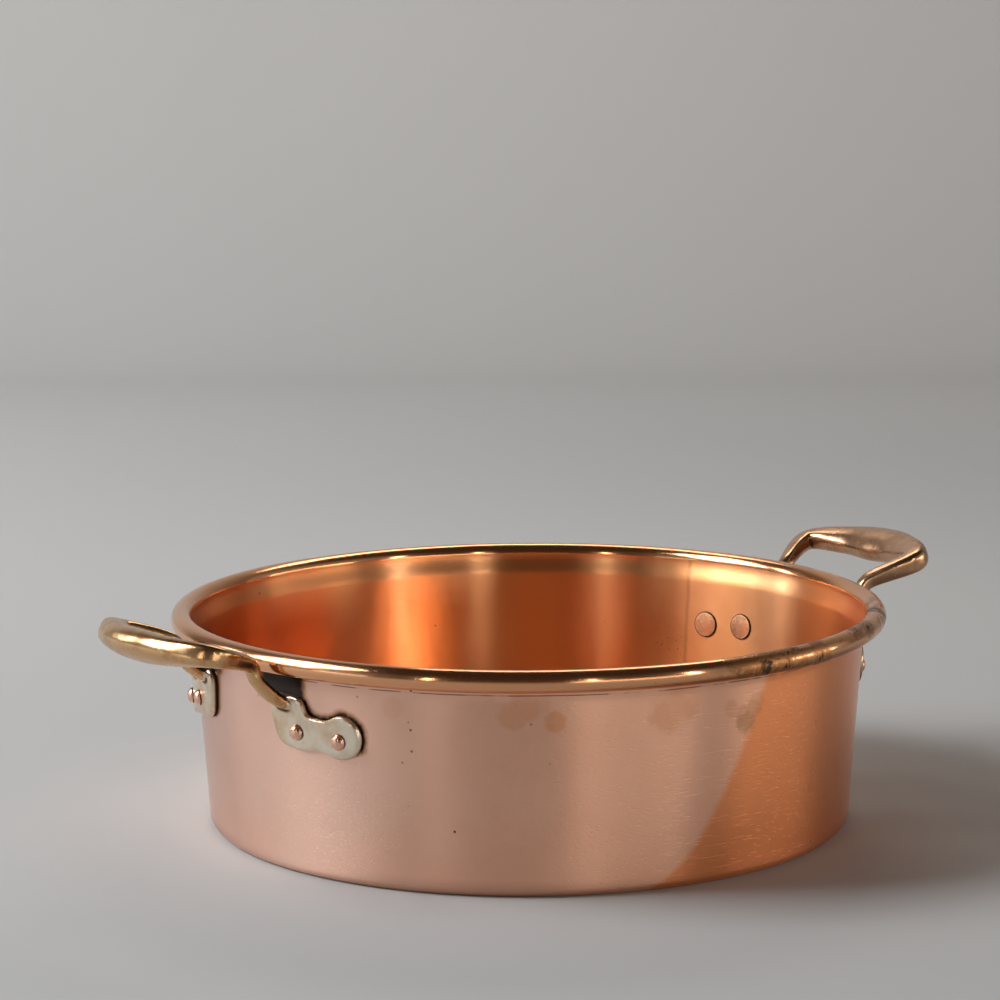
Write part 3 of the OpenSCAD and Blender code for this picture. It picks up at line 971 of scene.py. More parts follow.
@dataclass(frozen=True)
class Foot:
    """Outline and thickness of a riveting foot, and the grime and painted shade round it.

    X is down the wall and Y along it. A circle is given by its place and its radius. The heel, the root and
    the shoulder are placed from the handle's middle, and the others from a rivet.
    """

    thickness: float = 3.6 * MM
    fit: float = 0.05 * MM
    round_over: float = 1.5 * MM
    outer_lobe: tuple[float, float, float] = (-1.7 * MM, 1.4 * MM, 11 * MM)
    inner_s: float = 50.5 * MM
    pitch: float = 26 * MM
    step: float = 1.6 * MM
    low_step: float = 4.3 * MM
    high_step: float = -0.2 * MM
    drop: float = 34.2 * MM
    pad_r: float = 9 * MM
    heel: tuple[float, float, float] = (-1.5 * MM, 41.6 * MM, 10 * MM)
    root: tuple[float, float, float] = (-11 * MM, 36.8 * MM, 7.5 * MM)
    shoulder: tuple[float, float, float] = (-12.6 * MM, 47.2 * MM, 5 * MM)
    waist_top: tuple[float, float, float] = (-18.6 * MM, 15.6 * MM, 8.2 * MM)
    waist_under: tuple[float, float, float] = (19 * MM, 12.6 * MM, 11 * MM)
    waist_drops: tuple[float, float] = (0.6, 0.5)
    bar_share: float = 0.8
    blend: float = 3 * MM
    seen_from: float = 0.2
    reach: float = 48 * MM
    looks: int = 900
    directions: int = 180
    rings: int = 22
    grime_s: float = 35.5 * MM
    grime_w: float = 14 * MM
    grime_reach: float = 12 * MM
    grime_ends: float = 62 * MM
    grime_level: float = 0.7
    grime_slant: float = 0.4
    grime_fade: float = 20 * MM
    grime_least: float = 0.15

    def plate_distance(self, x: np.ndarray, y: np.ndarray, shift: float) -> np.ndarray:
        """Distance from the inner plate, which is drawn tight round its four circles.

        Args:
            x: Places down the wall from the inner rivet.
            y: Places along the wall from it.
            shift: How far the casting lies towards this foot's outer end.

        Returns:
            A distance for each place, below 0 inside.
        """
        circles = [(0.0, 0.0, self.pad_r)]
        circles += [(cx, s + shift - self.inner_s, r) for cx, s, r in (self.heel, self.root, self.shoulder)]
        turn = np.linspace(0, math.tau, self.directions, endpoint=False)
        reach = np.max([cx * np.cos(turn) + cy * np.sin(turn) + r for cx, cy, r in circles], axis=0)
        along = x[..., None] * np.cos(turn) + y[..., None] * np.sin(turn) - reach
        return along.max(axis=-1)

    def inside(self, x: np.ndarray, y: np.ndarray, shift: float, drop: float) -> np.ndarray:
        """How far inside the outline a place is: below 0 inside and above 0 outside.

        Args:
            x: Places down the wall from the inner rivet.
            y: Places along the wall from it.
            shift: How far the casting lies towards this foot's outer end.
            drop: How much lower the outer rivet is than the inner one.

        Returns:
            A distance for each place.
        """
        def disc(place: tuple[float, float, float], lower: float = 0.0, out: float = 0.0) -> np.ndarray:
            """Distance from a disc, which can be set lower or further out than its place says."""
            return np.hypot(x - place[0] - lower, y - place[1] - out) - place[2]

        def joined(one: np.ndarray, other: np.ndarray) -> np.ndarray:
            """Two shapes run together with a small fillet."""
            near = np.clip(0.5 + 0.5 * (other - one) / self.blend, 0, 1)
            return other * (1 - near) + one * near - self.blend * near * (1 - near)

        outer = disc(self.outer_lobe, drop, self.pitch)
        half = self.outer_lobe[2] * self.bar_share
        bar = np.maximum(np.abs(x - drop * y / self.pitch) - half, np.maximum(-y, y - self.pitch))
        shape = joined(joined(self.plate_distance(x, y, shift), outer), bar)
        over, under = (disc(cut, drop * share) for cut, share in zip((self.waist_top, self.waist_under),
                                                                     self.waist_drops))
        return -joined(joined(-shape, over), under)

    def outline(self, shift: float, drop: float, steps: int = 200) -> tuple[np.ndarray, np.ndarray]:
        """Points round the foot.

        Args:
            shift: How far the casting lies towards this foot's outer end.
            drop: How much lower the outer rivet is than the inner one.
            steps: Number of points.

        Returns:
            The middle that the points are seen from, and one row for each point.
        """
        middle = np.array([0.0, self.pitch * self.seen_from])
        turn = np.linspace(0, math.tau, steps, endpoint=False)[:, None]
        reach = np.linspace(0, self.reach, self.looks)[None, :]
        x, y = reach * np.cos(turn), middle[1] + reach * np.sin(turn)
        held = self.inside(x, y, shift, drop) < 0
        first = np.argmax(~held, axis=1)
        far = reach[0, first][:, None]
        return middle, middle + far * np.hstack([np.cos(turn), np.sin(turn)])


@dataclass(frozen=True)
class Loop:
    """Shape of a handle's loop, from the root of one leg over the grip to the other.

    Each of the leg's places has its share of the way up and of the way out, how much wider and thicker than
    the leg it is, and the angle of its section in degrees.
    """

    turn: float = math.radians(2.6)
    grip_reach: float = 46.5 * MM
    grip_rise: float = 11.9 * MM
    grip_tilt: float = 1.6 * MM
    grip_skew: float = 11 * MM
    casting_shift: float = 2.5 * MM
    front_lift: float = 2 * MM
    uneven: float = 0.08
    grip_w: float = 23.2 * MM
    grip_t: float = 15.4 * MM
    loop_w: float = 103.2 * MM
    corner_inset: float = 13.8 * MM
    corner_w: float = 11.8 * MM
    corner_t: float = 11.3 * MM
    legs_w: float = 79 * MM
    leg_w: float = 7.2 * MM
    leg_t: float = 6.8 * MM
    leg_gap: float = 2.4 * MM
    round_square: float = 2.3
    flat_square: float = 3.4
    bend_side: float = 0.5 * MM
    bend_out: float = 1 * MM
    bend_rise: float = 1.8 * MM
    bend_swell: tuple[float, float] = (1.1, 1.15)
    bend_deg: float = 42
    corner_drop: float = 1.3 * MM
    corner_deg: float = 18
    quarter_side: float = 0.49
    quarter_inset: float = 2 * MM
    grip_deg: float = 28
    bend_tilt: float = 0.24
    corner_tilt: float = 0.7
    root_rise: float = 11.5 * MM
    leg_top_drop: float = 7 * MM
    leg_places: tuple = (
        (0, -0.12, 1.5, 0.5, 90), (0.22, 0.16, 1.42, 0.95, 62), (0.55, 0.58, 1.2, 1.05, 55),
        (1, 1, 1.05, 1, 72),
    )


@dataclass
class Handle:
    """One cast brass handle: grip, corners, legs and two riveting feet."""

    side: Side
    sheet: Sheet
    foot: Foot = Foot()
    loop: Loop = Loop()
    steps: int = 16
    sides: int = 48
    voxel: float = 0.62 * MM
    softness: int = 7
    hollow_spread: int = 12
    hollow_gain: float = 22
    wall_shade: float = 2.2 * MM
    behind_share: float = 0.7

    @property
    def bearing(self) -> float:
        """Bearing of the handle's middle about the pan's axis."""
        return -self.loop.turn if self.side is Side.RIGHT else math.pi + self.loop.turn

    @property
    def rivet_z(self) -> float:
        """Height of the inner rivets."""
        return self.sheet.rim_z - self.foot.drop

    @property
    def face_r(self) -> float:
        """Radius of the outside of the feet at that height."""
        return self.sheet.wall_r(self.rivet_z) + self.foot.thickness

    def outer_drop(self, end: End) -> float:
        """How much lower an end's outer rivet is than its inner one."""
        if end.value > 0:
            return self.foot.step
        return self.foot.low_step if self.side is Side.LEFT else self.foot.high_step

    def half(self) -> list[tuple[float, ...]]:
        """Half of the loop as stations.

        Returns:
            For each: place sideways, distance from the axis, height, half width, half thickness,
            the angle that the section is turned to, in degrees, and how square the section is.
        """
        loop, tilt, rim = self.loop, self.side.value * self.loop.grip_tilt, self.sheet.rim_z
        grip_r = self.sheet.rim_d / 2 + loop.grip_reach
        leg_r = self.sheet.rim_d / 2 + loop.leg_gap + loop.leg_t / 2
        root_z = self.rivet_z + loop.root_rise
        found = []
        u = loop.legs_w / 2
        for up, out, wide, thick, angle in loop.leg_places:
            r = self.face_r + out * (leg_r - self.face_r)
            z = root_z + up * (rim - loop.leg_top_drop - root_z)
            found.append((u, math.sqrt(r * r - u * u), z, loop.leg_w / 2 * wide, loop.leg_t / 2 * thick,
                          angle, loop.round_square))
        swell_w, swell_t = loop.bend_swell
        grip_z, bend_z = rim + loop.grip_rise, rim + loop.bend_rise + tilt * loop.bend_tilt
        corner_z = grip_z - loop.corner_drop + tilt * loop.corner_tilt
        found += [
            (loop.legs_w / 2 + loop.bend_side, leg_r + loop.bend_out, bend_z,
             loop.leg_w / 2 * swell_w, loop.leg_t / 2 * swell_t, loop.bend_deg, loop.flat_square),
            (loop.loop_w / 2, grip_r - loop.corner_inset, corner_z,
             loop.corner_w / 2, loop.corner_t / 2, loop.corner_deg, loop.flat_square),
            (loop.loop_w / 2 * loop.quarter_side, grip_r - loop.quarter_inset, grip_z + tilt,
             (loop.corner_w + 2 * loop.grip_w) / 6, (loop.corner_t + 2 * loop.grip_t) / 6, loop.grip_deg,
             loop.round_square),
            (0.0, grip_r, grip_z + tilt, loop.grip_w / 2, loop.grip_t / 2, loop.grip_deg, loop.round_square),
        ]
        return found

    def stations(self) -> np.ndarray:
        """The whole loop as stations, with the grip leaning off the middle of its feet."""
        loop = self.loop
        half = np.array(self.half())
        other = half[-2::-1] * [-1, 1, 1, 1, 1, 1, 1]
        whole = np.vstack([half, other])
        grip_r = self.sheet.rim_d / 2 + loop.grip_reach
        share = np.clip((whole[:, 1] - self.face_r) / (grip_r - self.face_r), 0, 1)
        across = whole[:, 0] / (loop.loop_w / 2) * share
        whole[:, 2] += self.side.value * loop.front_lift * across
        whole[:, 3:5] *= 1 + loop.uneven * across[:, None]
        whole[:, 0] -= loop.casting_shift + (loop.grip_skew - loop.casting_shift) * share
        return whole

    def line(self) -> np.ndarray:
        """A smooth curve through the stations."""
        s = self.stations()
        p = np.vstack([2 * s[0] - s[1], s, 2 * s[-1] - s[-2]])
        t = np.linspace(0, 1, self.steps, endpoint=False)[:, None]
        parts = []
        for a, b, c, d in zip(p[:-3], p[1:-2], p[2:-1], p[3:]):
            bend, twist = 2 * a - 5 * b + 4 * c - d, 3 * b - a - 3 * c + d
            parts.append(0.5 * (2 * b + (c - a) * t + bend * t * t + twist * t ** 3))
        return np.vstack([*parts, s[-1:]])

    def loft(self) -> tuple[np.ndarray, list[tuple[int, ...]]]:
        """The closed skin over the loop's sections.

        Returns:
            Its points in the pan's own axes before the handle's bearing, and its faces.
        """
        line = self.line()
        centre = line[:, :3]
        along = np.gradient(centre, axis=0)
        along /= np.linalg.norm(along, axis=1)[:, None]
        angle = np.radians(line[:, 5])
        up = np.column_stack([np.zeros(len(line)), -np.sin(angle), np.cos(angle)])
        b = up - along * (up * along).sum(1)[:, None]
        b /= np.linalg.norm(b, axis=1)[:, None]
        a = np.cross(b, along)
        turn = np.linspace(0, math.tau, self.sides, endpoint=False)
        power = 2 / line[:, 6, None]
        across = np.sign(np.cos(turn)) * np.abs(np.cos(turn)) ** power
        upward = np.sign(np.sin(turn)) * np.abs(np.sin(turn)) ** power
        rings = (centre[:, None] + a[:, None] * (line[:, 3, None] * across)[..., None]
                 + b[:, None] * (line[:, 4, None] * upward)[..., None])
        points = np.vstack([rings.reshape(-1, 3), centre[:1], centre[-1:]])
        n, k = len(line), self.sides
        faces: list[tuple[int, ...]] = [
            (i * k + j, i * k + (j + 1) % k, (i + 1) * k + (j + 1) % k, (i + 1) * k + j)
            for i in range(n - 1) for j in range(k)]
        faces += [(n * k, (j + 1) % k, j) for j in range(k)]
        faces += [(n * k + 1, (n - 1) * k + j, (n - 1) * k + (j + 1) % k) for j in range(k)]
        return np.column_stack([points[:, 1], -points[:, 0], points[:, 2]]), faces

    def plate(self, end: End) -> tuple[np.ndarray, list[tuple[int, ...]]]:
        """A foot bent to the wall.

        Args:
            end: Which end of the handle it is at.

        Returns:
            Its points before the handle's bearing, and its faces.
        """
        foot = self.foot
        middle, edge = foot.outline(end.value * self.loop.casting_shift, self.outer_drop(end))
        shares = np.linspace(0, 1, foot.rings + 1)[1:]
        flat = np.vstack([middle] + [middle + (edge - middle) * s for s in shares])
        turn = end.value * (foot.inner_s + flat[:, 1]) / self.face_r
        z = self.rivet_z - flat[:, 0] * math.cos(math.atan(self.sheet.slope))
        reach = np.linalg.norm(edge - middle, axis=1)
        gap = np.concatenate([[np.min(reach)]] + [reach * (1 - s) for s in shares])
        in_corner = np.clip(1 - gap / foot.round_over, 0, 1)
        drop = foot.round_over * (1 - np.sqrt(1 - in_corner ** 2))

        def layer(offset: float | np.ndarray) -> np.ndarray:
            """The foot's places at a distance from the wall."""
            r = self.sheet.wall_r(z) + offset
            return np.column_stack([r * np.cos(turn), r * np.sin(turn), z])

        k, rings = len(edge), len(shares)
        top: list[tuple[int, ...]] = [(0, 1 + j, 1 + (j + 1) % k) for j in range(k)]
        for i in range(rings - 1):
            at = 1 + i * k
            top += [(at + j, at + k + j, at + k + (j + 1) % k, at + (j + 1) % k) for j in range(k)]
        count, rim_at = len(flat), 1 + (rings - 1) * k
        under = [tuple(p + count for p in reversed(f)) for f in top]
        wall = [(rim_at + j, rim_at + j + count, rim_at + (j + 1) % k + count, rim_at + (j + 1) % k)
                for j in range(k)]
        return np.vstack([layer(foot.thickness - drop), layer(foot.fit)]), top + under + wall

    def build(self, finish: bpy.types.Material) -> bpy.types.Object:
        """Casts the handle in one piece.

        Args:
            finish: Its brass.

        Returns:
            The piece, which replaces the solid.
        """
        points, faces = self.loft()
        for end in End:
            more, other = self.plate(end)
            faces += [tuple(p + len(points) for p in f) for f in other]
            points = np.vstack([points, more])
        turn = Matrix.Rotation(self.bearing, 4, "Z")
        source = place_piece("casting", bare_mesh("casting", points, faces))
        source.data.transform(turn)
        cast = source.modifiers.new("cast", "REMESH")
        cast.mode, cast.voxel_size, cast.use_smooth_shade = "VOXEL", self.voxel, True
        soft = source.modifiers.new("soft", "SMOOTH")
        soft.factor, soft.iterations = 0.5, self.softness
        depsgraph = bpy.context.evaluated_depsgraph_get()
        mesh = bpy.data.meshes.new_from_object(source.evaluated_get(depsgraph), depsgraph=depsgraph)
        bpy.data.objects.remove(source)
        self.fit_to_wall(mesh)
        mesh.materials.clear()
        mesh.materials.append(finish)
        name = f"handle_{self.side.name.lower()}"
        return hand_over(place_piece(f"brass_{name}", mesh), name)

    def grime_behind(self, places: np.ndarray) -> np.ndarray:
        """How near places on the wall are to where grime and painted shade are put, round the feet and
        behind the legs.

        Args:
            places: Places on the pan.

        Returns:
            A mark for each place: 1 at a foot's edge, and 0 once it is away from the feet.
        """
        foot, loop = self.foot, self.loop
        turn = np.arctan2(places[:, 1], places[:, 0]) - self.bearing
        turn = (turn + math.pi) % math.tau - math.pi
        down = (self.rivet_z - places[:, 2]) / math.cos(math.atan(self.sheet.slope))
        found = np.zeros(len(places))
        for end in End:
            along = end.value * turn * self.face_r - foot.inner_s
            shift = end.value * loop.casting_shift
            close = np.flatnonzero((np.abs(along) < foot.grime_ends) & (np.abs(down) < foot.reach))
            x, y = down[close], along[close]
            leg = np.maximum(np.abs(y + foot.inner_s - foot.grime_s - shift) - foot.grime_w, x + foot.pad_r)
            away = np.minimum(foot.inside(x, y, shift, self.outer_drop(end)), leg)
            above = ((y - foot.pad_r) * foot.grime_slant - x) / foot.grime_fade
            upper = np.clip(foot.grime_level + above, foot.grime_least, 1)
            found[close] = np.maximum(found[close], np.clip(1 - away / foot.grime_reach, 0, 1) * upper)
        return found

    def fit_to_wall(self, mesh: bpy.types.Mesh) -> None:
        """Keeps the casting off the wall and marks where grime and painted shade go.

        Args:
            mesh: The casting's mesh, which is changed.
        """
        at = np.array([v.co for v in mesh.vertices])
        r = np.hypot(at[:, 0], at[:, 1])
        least = self.sheet.wall_r(at[:, 2]) + self.foot.fit
        near = (at[:, 2] < self.sheet.neck_z) & (r < least)
        grow = np.where(near, least / r, 1.0)
        at[:, :2] *= grow[:, None]
        mesh.vertices.foreach_set("co", at.astype(np.float32).ravel())
        mesh.update()
        edges = np.array([e.vertices for e in mesh.edges])
        normals = np.array([v.normal for v in mesh.vertices])
        mean, count = np.zeros_like(at), np.zeros(len(at))
        for a, b in ((0, 1), (1, 0)):
            np.add.at(mean, edges[:, a], at[edges[:, b]])
            np.add.at(count, edges[:, a], 1)
        hollow = ((mean / count[:, None] - at) * normals).sum(1) / self.voxel
        for _ in range(self.hollow_spread):
            total = np.zeros(len(at))
            for a, b in ((0, 1), (1, 0)):
                np.add.at(total, edges[:, a], hollow[edges[:, b]])
            hollow = 0.5 * hollow + 0.5 * total / count
        # Painted shade: brass close to the wall, and brass facing the wall below the rim, is marked dark
        # along with the hollows.
        gap = np.hypot(at[:, 0], at[:, 1]) - self.sheet.wall_r(at[:, 2])
        shade_by_wall = np.clip(1 - gap / self.wall_shade, 0, 1) * (at[:, 2] < self.sheet.neck_z)
        outward = (normals[:, 0] * at[:, 0] + normals[:, 1] * at[:, 1]) / np.hypot(at[:, 0], at[:, 1])
        behind = np.clip(-outward, 0, 1) * (at[:, 2] < self.sheet.rim_z)
        hollow = np.clip(hollow * self.hollow_gain, 0, 1)
        set_attribute(mesh, "hollow", hollow + shade_by_wall + behind * self.behind_share)


@dataclass(frozen=True)
class Rivets:
    """The copper rivets: a dome over the foot, a shank, and a flat head inside the pan."""

    sheet: Sheet
    foot: Foot = Foot()
    dome_d: float = 8.2 * MM
    dome_h: float = 3 * MM
    head_d: float = 15 * MM
    head_t: float = 0.9 * MM
    shank_d: float = 5.5 * MM
    fit: float = 0.02 * MM
    segments: int = 64
    hammering: float = 0.10 * MM
    hammer_marks: float = 280.0
    bevel: float = 0.25
    dome_rows: int = 14
    dome_foot: float = 0.30

    def tree(self) -> Turning:
        """The geometry tree that turns a rivet and sets one at each point that it is given.

        Returns:
            The finished tree.
        """
        sizes = ("Segments", "Dome Width", "Dome Height", "Head Width", "Head Thickness", "Shank Width",
                 "Foot Thickness", "Sheet Thickness", "Hammering", "Seed")
        made = Turning("rivets", sizes)
        bench = made.bench
        segments, dome_h = made.given("Segments"), made.given("Dome Height")
        dome_r, head_r, shank_r = (made.given(f"{part} Width") * 0.5 for part in ("Dome", "Head", "Shank"))
        top = made.given("Foot Thickness") + self.fit
        seat = 0.0 - made.given("Sheet Thickness") - self.fit
        face = seat - made.given("Head Thickness")
        edge = made.given("Head Thickness") * self.bevel
        corners = [
            (0.0, face), (head_r - edge * 4.0, face), (head_r - edge * 1.4, face + edge * 0.35),
            (head_r - edge * 0.35, face + edge), (head_r, face + edge * 2.2), (head_r, seat - edge),
            (shank_r, seat), (shank_r, top), (dome_r * 0.97, top),
        ]
        row = made.row(segments)
        chosen = bench.node("GeometryNodeIndexSwitch", data_type="VECTOR")
        while len(chosen.index_switch_items) < len(corners):
            chosen.index_switch_items.new()
        bench.feed(chosen, "Index", row)
        for place, (r, z) in enumerate(corners):
            bench.feed(chosen, str(place), bench.vector(r, 0.0, z))
        turn = (row - float(len(corners))) / float(self.dome_rows) * (math.pi / 2)
        dome_z = top + dome_h * bench.math("SINE", turn)
        dome = bench.vector(dome_r * bench.math("COSINE", turn), 0.0, dome_z)
        in_dome = bench.math("GREATER_THAN", row, len(corners) - 0.5)
        corner = Wire(bench, pick(chosen.outputs, 0))
        outline = bench.wire("GeometryNodeSwitch", {"Switch": in_dome, "False": corner, "True": dome},
                             input_type="VECTOR")
        radius, _, height = bench.split(outline)
        solid = made.lathe(len(corners) + self.dome_rows + 1, segments, radius, height)
        marked = bench.wire("GeometryNodeStoreNamedAttribute", {
            "Geometry": solid, "Name": "hollow", "Value": self.grime_ring(bench, dome_r, head_r, top)},
            data_type="FLOAT", domain="POINT")
        outward = bench.wire("GeometryNodeInputNamedAttribute", {"Name": "outward"},
                             data_type="FLOAT_VECTOR")
        turned = bench.wire("FunctionNodeAlignRotationToVector", {"Vector": outward}, axis="Z")
        placed = bench.wire("GeometryNodeInstanceOnPoints", {
            "Points": made.given("Geometry"), "Instance": marked, "Rotation": turned})
        real = bench.wire("GeometryNodeRealizeInstances", {"Geometry": placed})
        uneven = bench.wire("ShaderNodeTexNoise", {
            "Vector": bench.wire("GeometryNodeInputPosition"), "Scale": self.hammer_marks, "Detail": 1.0,
            "W": made.given("Seed")}, noise_dimensions="4D") - 0.5
        normal, depth = bench.wire("GeometryNodeInputNormal"), uneven * made.given("Hammering")
        push = bench.wire("ShaderNodeVectorMath", {0: normal, "Scale": depth}, operation="SCALE")
        made.close(bench.wire("GeometryNodeSetPosition", {"Geometry": real, "Offset": push}))
        return made

    def grime_ring(self, bench: Bench, dome_r: Wire, head_r: Wire, top: Wire) -> Wire:
        """How dirty a point of the rivet is, from 0 on its faces to 1 where it is seated.

        Args:
            bench: The tree's bench.
            dome_r: Radius of the dome.
            head_r: Radius of the flat head.
            top: Height of the dome's seat.

        Returns:
            The mark.
        """
        x, y, z = bench.split(bench.wire("GeometryNodeInputPosition"))
        r = bench.from_axis(x, y)
        at_dome = ((z - top) / (self.dome_h * self.dome_foot)).rise(1.0, 0.1) * (r / dome_r).rise(0.75, 0.97)
        at_head = (r / head_r).rise(0.84, 0.93)
        above = bench.math("GREATER_THAN", z, 0.0)
        return bench.wire("GeometryNodeSwitch", {"Switch": above, "False": at_head, "True": at_dome},
                          input_type="FLOAT")

    def build(self, handle: Handle, finish: bpy.types.Material, tree: Turning) -> list[bpy.types.Object]:
        """Sets a handle's four rivets.

        Args:
            handle: The handle that they hold.
            finish: Their copper.
            tree: The geometry tree that makes them.

        Returns:
            The pieces, each of which replaces its own solid.
        """
        made = []
        for end in End:
            front = handle.side.value * end.value < 0
            outer = ("outer", self.foot.pitch, handle.outer_drop(end))
            for lobe, along, down in (("inner", 0.0, 0.0), outer):
                turn = handle.bearing + end.value * (self.foot.inner_s + along) / handle.face_r
                name = f"rivet_{handle.side.name.lower()}_{'front' if front else 'back'}_{lobe}"
                piece = tree.bake(self.seat(turn, handle.rivet_z - down), f"copper_{name}", {
                    "Segments": float(self.segments), "Dome Width": self.dome_d, "Dome Height": self.dome_h,
                    "Head Width": self.head_d, "Head Thickness": self.head_t, "Shank Width": self.shank_d,
                    "Foot Thickness": self.foot.thickness, "Sheet Thickness": self.sheet.thickness,
                    "Hammering": self.hammering, "Seed": float(len(made)) + handle.side.value * 10.0,
                    Turning.FINISH: finish})
                made.append(hand_over(piece, name))
        return made

    def seat(self, turn: float, z: float) -> bpy.types.Object:
        """The place on the wall where a rivet goes.

        Args:
            turn: Its bearing about the pan's axis.
            z: Its height.

        Returns:
            An object of one point, with the direction that the rivet points in.
        """
        r, lean = self.sheet.wall_r(z), math.atan(self.sheet.slope)
        ahead, aside = math.cos(turn), math.sin(turn)
        mesh = bare_mesh("rivet_place", np.array([[r * ahead, r * aside, z]]))
        outward = mesh.attributes.new("outward", "FLOAT_VECTOR", "POINT")
        outward.data[0].vector = (ahead * math.cos(lean), aside * math.cos(lean), -math.sin(lean))
        return place_piece("rivet_place", mesh)


@dataclass(frozen=True)
class Lamp:
    """A soft lamp that is aimed at the pan. Its bearing is 0 behind the camera and grows to the right."""

    name: str
    bearing_deg: float
    elevation_deg: float
    distance: float
    size: tuple[float, float]
    power: float
    tint: tuple[float, float, float] = (1.0, 1.0, 1.0)


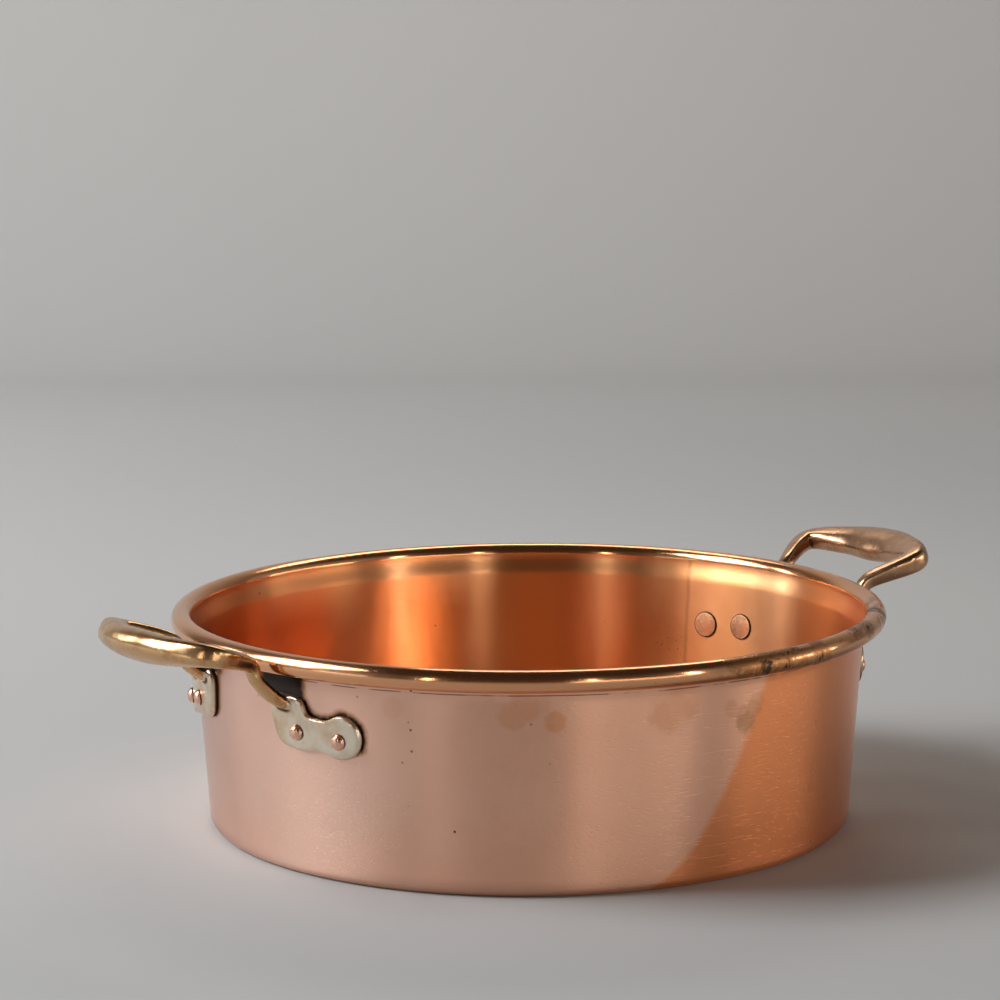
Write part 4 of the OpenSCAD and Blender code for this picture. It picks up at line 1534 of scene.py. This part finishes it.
@dataclass(frozen=True)
class Studio:
    """Floor, backdrop, lamps and camera."""

    sheet: Sheet
    row_turn: float = ROW_TURN
    camera_distance: float = 1610.8 * MM
    camera_rise: float = 0.1868
    pitch: float = 0.1503
    yaw: float = -0.0093
    roll: float = -0.0068
    focal_px: float = 3009.8
    frame_px: float = 1000.0
    sensor_mm: float = 36.0
    floor_half: float = 5.0
    wall_away: float = 2.8
    bend_r: float = 0.7
    wall_h: float = 3.2
    sides_of_room: tuple = colour(0.30, 0.30, 0.305)
    front_of_room: tuple = colour(0.06, 0.04, 0.025)
    horizon: tuple = colour(0.34, 0.25, 0.20)
    ceiling: tuple = colour(0.04, 0.028, 0.02)
    horizon_to: tuple = (0.01, 0.12)
    front_from: tuple = (-0.35, -0.85)
    ceiling_from: tuple = (0.25, 0.75)
    lamps: tuple = (
        Lamp("window", -86, 36, 3.1, (1.4, 1.8), 100.0, (0.93, 0.97, 1.0)),
        Lamp("low_left", -58, 5, 2.4, (0.8, 0.3), 1.2, (0.95, 0.98, 1.0)),
        Lamp("low_right", 88, 6, 2.4, (1.7, 0.3), 7.5, (1.0, 0.88, 0.74)),
        Lamp("low_front", 30, 4, 2.4, (1.5, 0.25), 3.4, (1.0, 0.93, 0.84)),
        Lamp("side_lamp", -109, 18, 1.8, (0.22, 0.6), 3.0, (0.90, 0.95, 1.0)),
        Lamp("right_lamp", 50, 16, 1.8, (0.07, 0.5), 1.6, (1.0, 0.98, 0.95)),
        Lamp("front_lamp", 19, 16, 1.8, (0.05, 0.4), 0.8, (1.0, 0.93, 0.84)),
        Lamp("left_lamp", -30, 16, 1.8, (0.05, 0.5), 1.0, (1.0, 0.94, 0.86)),
        Lamp("back_lamp", 172, 48, 1.0, (0.5, 0.2), 1.5, (1.0, 0.92, 0.82)),
    )

    def to_row(self, x: float, y: float, z: float) -> Vector:
        """A direction or place seen from the camera's side, in the part's own axes."""
        c, s = math.cos(self.row_turn), math.sin(self.row_turn)
        return Vector((x * c + y * s, -x * s + y * c, z))

    def camera(self) -> bpy.types.Object:
        """The camera, at the viewing angle of the photograph.

        Returns:
            The camera's object.
        """
        level = math.cos(self.pitch)
        forward = Vector((math.sin(self.yaw) * level, math.cos(self.yaw) * level, -math.sin(self.pitch)))
        right = forward.cross(Vector((0, 0, 1))).normalized()
        up = right.cross(forward)
        c, s = math.cos(self.roll), math.sin(self.roll)
        axes = [self.to_row(*v) for v in (c * right + s * up, c * up - s * right, -forward)]
        place = self.to_row(0, -self.camera_distance * math.cos(self.camera_rise),
                            self.camera_distance * math.sin(self.camera_rise) + self.sheet.rim_z)
        data = bpy.data.cameras.new("camera")
        data.sensor_width, data.sensor_fit = self.sensor_mm, "HORIZONTAL"
        data.lens = self.focal_px / self.frame_px * data.sensor_width
        made = bpy.data.objects.new("camera", data)
        matrix = Matrix([[a[i] for a in axes] for i in range(3)]).to_4x4()
        made.matrix_world = Matrix.Translation(place) @ matrix
        bpy.context.scene.collection.objects.link(made)
        bpy.context.scene.camera = made
        return made

    def backdrop(self, finish: bpy.types.Material) -> bpy.types.Object:
        """A floor that bends up into a wall behind the pan.

        Args:
            finish: Its paint.

        Returns:
            The object, which is no part of the pan.
        """
        half, away = self.floor_half, self.wall_away
        side = np.vstack([
            straight((-half, 0), (away - self.bend_r, 0), 4)[:-1],
            arc((away - self.bend_r, self.bend_r), self.bend_r, -math.pi / 2, 0, 24),
            straight((away, self.bend_r), (away, self.wall_h), 4)[1:],
        ])
        points = [self.to_row(x, y, z) for x in (-half, half) for y, z in side]
        n = len(side)
        faces = [(i, i + n, i + n + 1, i + 1) for i in range(n - 1)]
        mesh = bare_mesh("backdrop", np.array(points), faces)
        mesh.shade_smooth()
        mesh.materials.append(finish)
        made = place_piece("backdrop", mesh)
        return made

    def light(self) -> None:
        """Sets the lamps round the pan and the soft light of the room."""
        world = bpy.data.worlds.new("room")
        bpy.context.scene.world = world
        world.use_nodes = True
        bench = Bench(world.node_tree)
        x, y, z = bench.split(bench.wire("ShaderNodeTexCoord", out="Generated"))
        forward = x * math.sin(self.row_turn) + y * math.cos(self.row_turn)
        front = bench.blend(z.rise(*self.horizon_to), self.horizon, self.front_of_room)
        tone = bench.blend(forward.rise(*self.front_from), self.sides_of_room, front)
        tone = bench.blend(z.rise(*self.ceiling_from), tone, self.ceiling)
        bench.feed(world.node_tree.nodes["Background"], "Color", tone)
        aim = Vector((0, 0, self.sheet.height / 2))
        for lamp in self.lamps:
            turn, rise = math.radians(lamp.bearing_deg), math.radians(lamp.elevation_deg)
            level = math.cos(rise)
            away = self.to_row(math.sin(turn) * level, -math.cos(turn) * level, math.sin(rise))
            data = bpy.data.lights.new(lamp.name, "AREA")
            data.shape, (data.size, data.size_y) = "RECTANGLE", lamp.size
            data.energy, data.color = lamp.power, lamp.tint
            made = bpy.data.objects.new(lamp.name, data)
            made.location = aim + away * lamp.distance
            made.rotation_euler = away.to_track_quat("Z", "Y").to_euler()
            bpy.context.scene.collection.objects.link(made)


def report(piece: bpy.types.Object) -> None:
    """Says how large a piece is and how many faces it has."""
    size = ", ".join(f"{side / MM:.1f}" for side in piece.dimensions)
    LOG.info("%s: %s mm, %d faces, %.1f cm3", piece.name, size, len(piece.data.polygons),
             enclosed(piece.data) / CUBIC_CM)


def main() -> None:
    """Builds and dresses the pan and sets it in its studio."""
    logging.basicConfig(level=logging.INFO, format="%(name)s: %(message)s")
    sheet = Sheet.from_frame()
    studio = Studio(sheet)
    studio.camera()
    # The right handle's coppery copy of the brass is a painted reflection of the warm room.
    brass = {Side.LEFT: CastBrass().make(), Side.RIGHT: CastBrass(
        name="cast_brass_right", pale=colour(0.66, 0.44, 0.30), golden=colour(0.58, 0.34, 0.20)).make()}
    rivet_copper = RivetCopper().make()
    handles = tuple(Handle(side, sheet) for side in Side)
    report(PanBody(sheet, handles).build(SheetCopper().make()))
    rivets = Rivets(sheet)
    tree = rivets.tree()
    for handle in handles:
        report(handle.build(brass[handle.side]))
        for piece in rivets.build(handle, rivet_copper, tree):
            report(piece)
    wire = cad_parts["rim_wire"]
    wire.data.materials.clear()
    wire.data.materials.append(IronWire().make())
    studio.backdrop(PalePaint().make())
    studio.light()
    bpy.context.scene.view_settings.view_transform = "Standard"


if __name__ == "__main__":
    main()
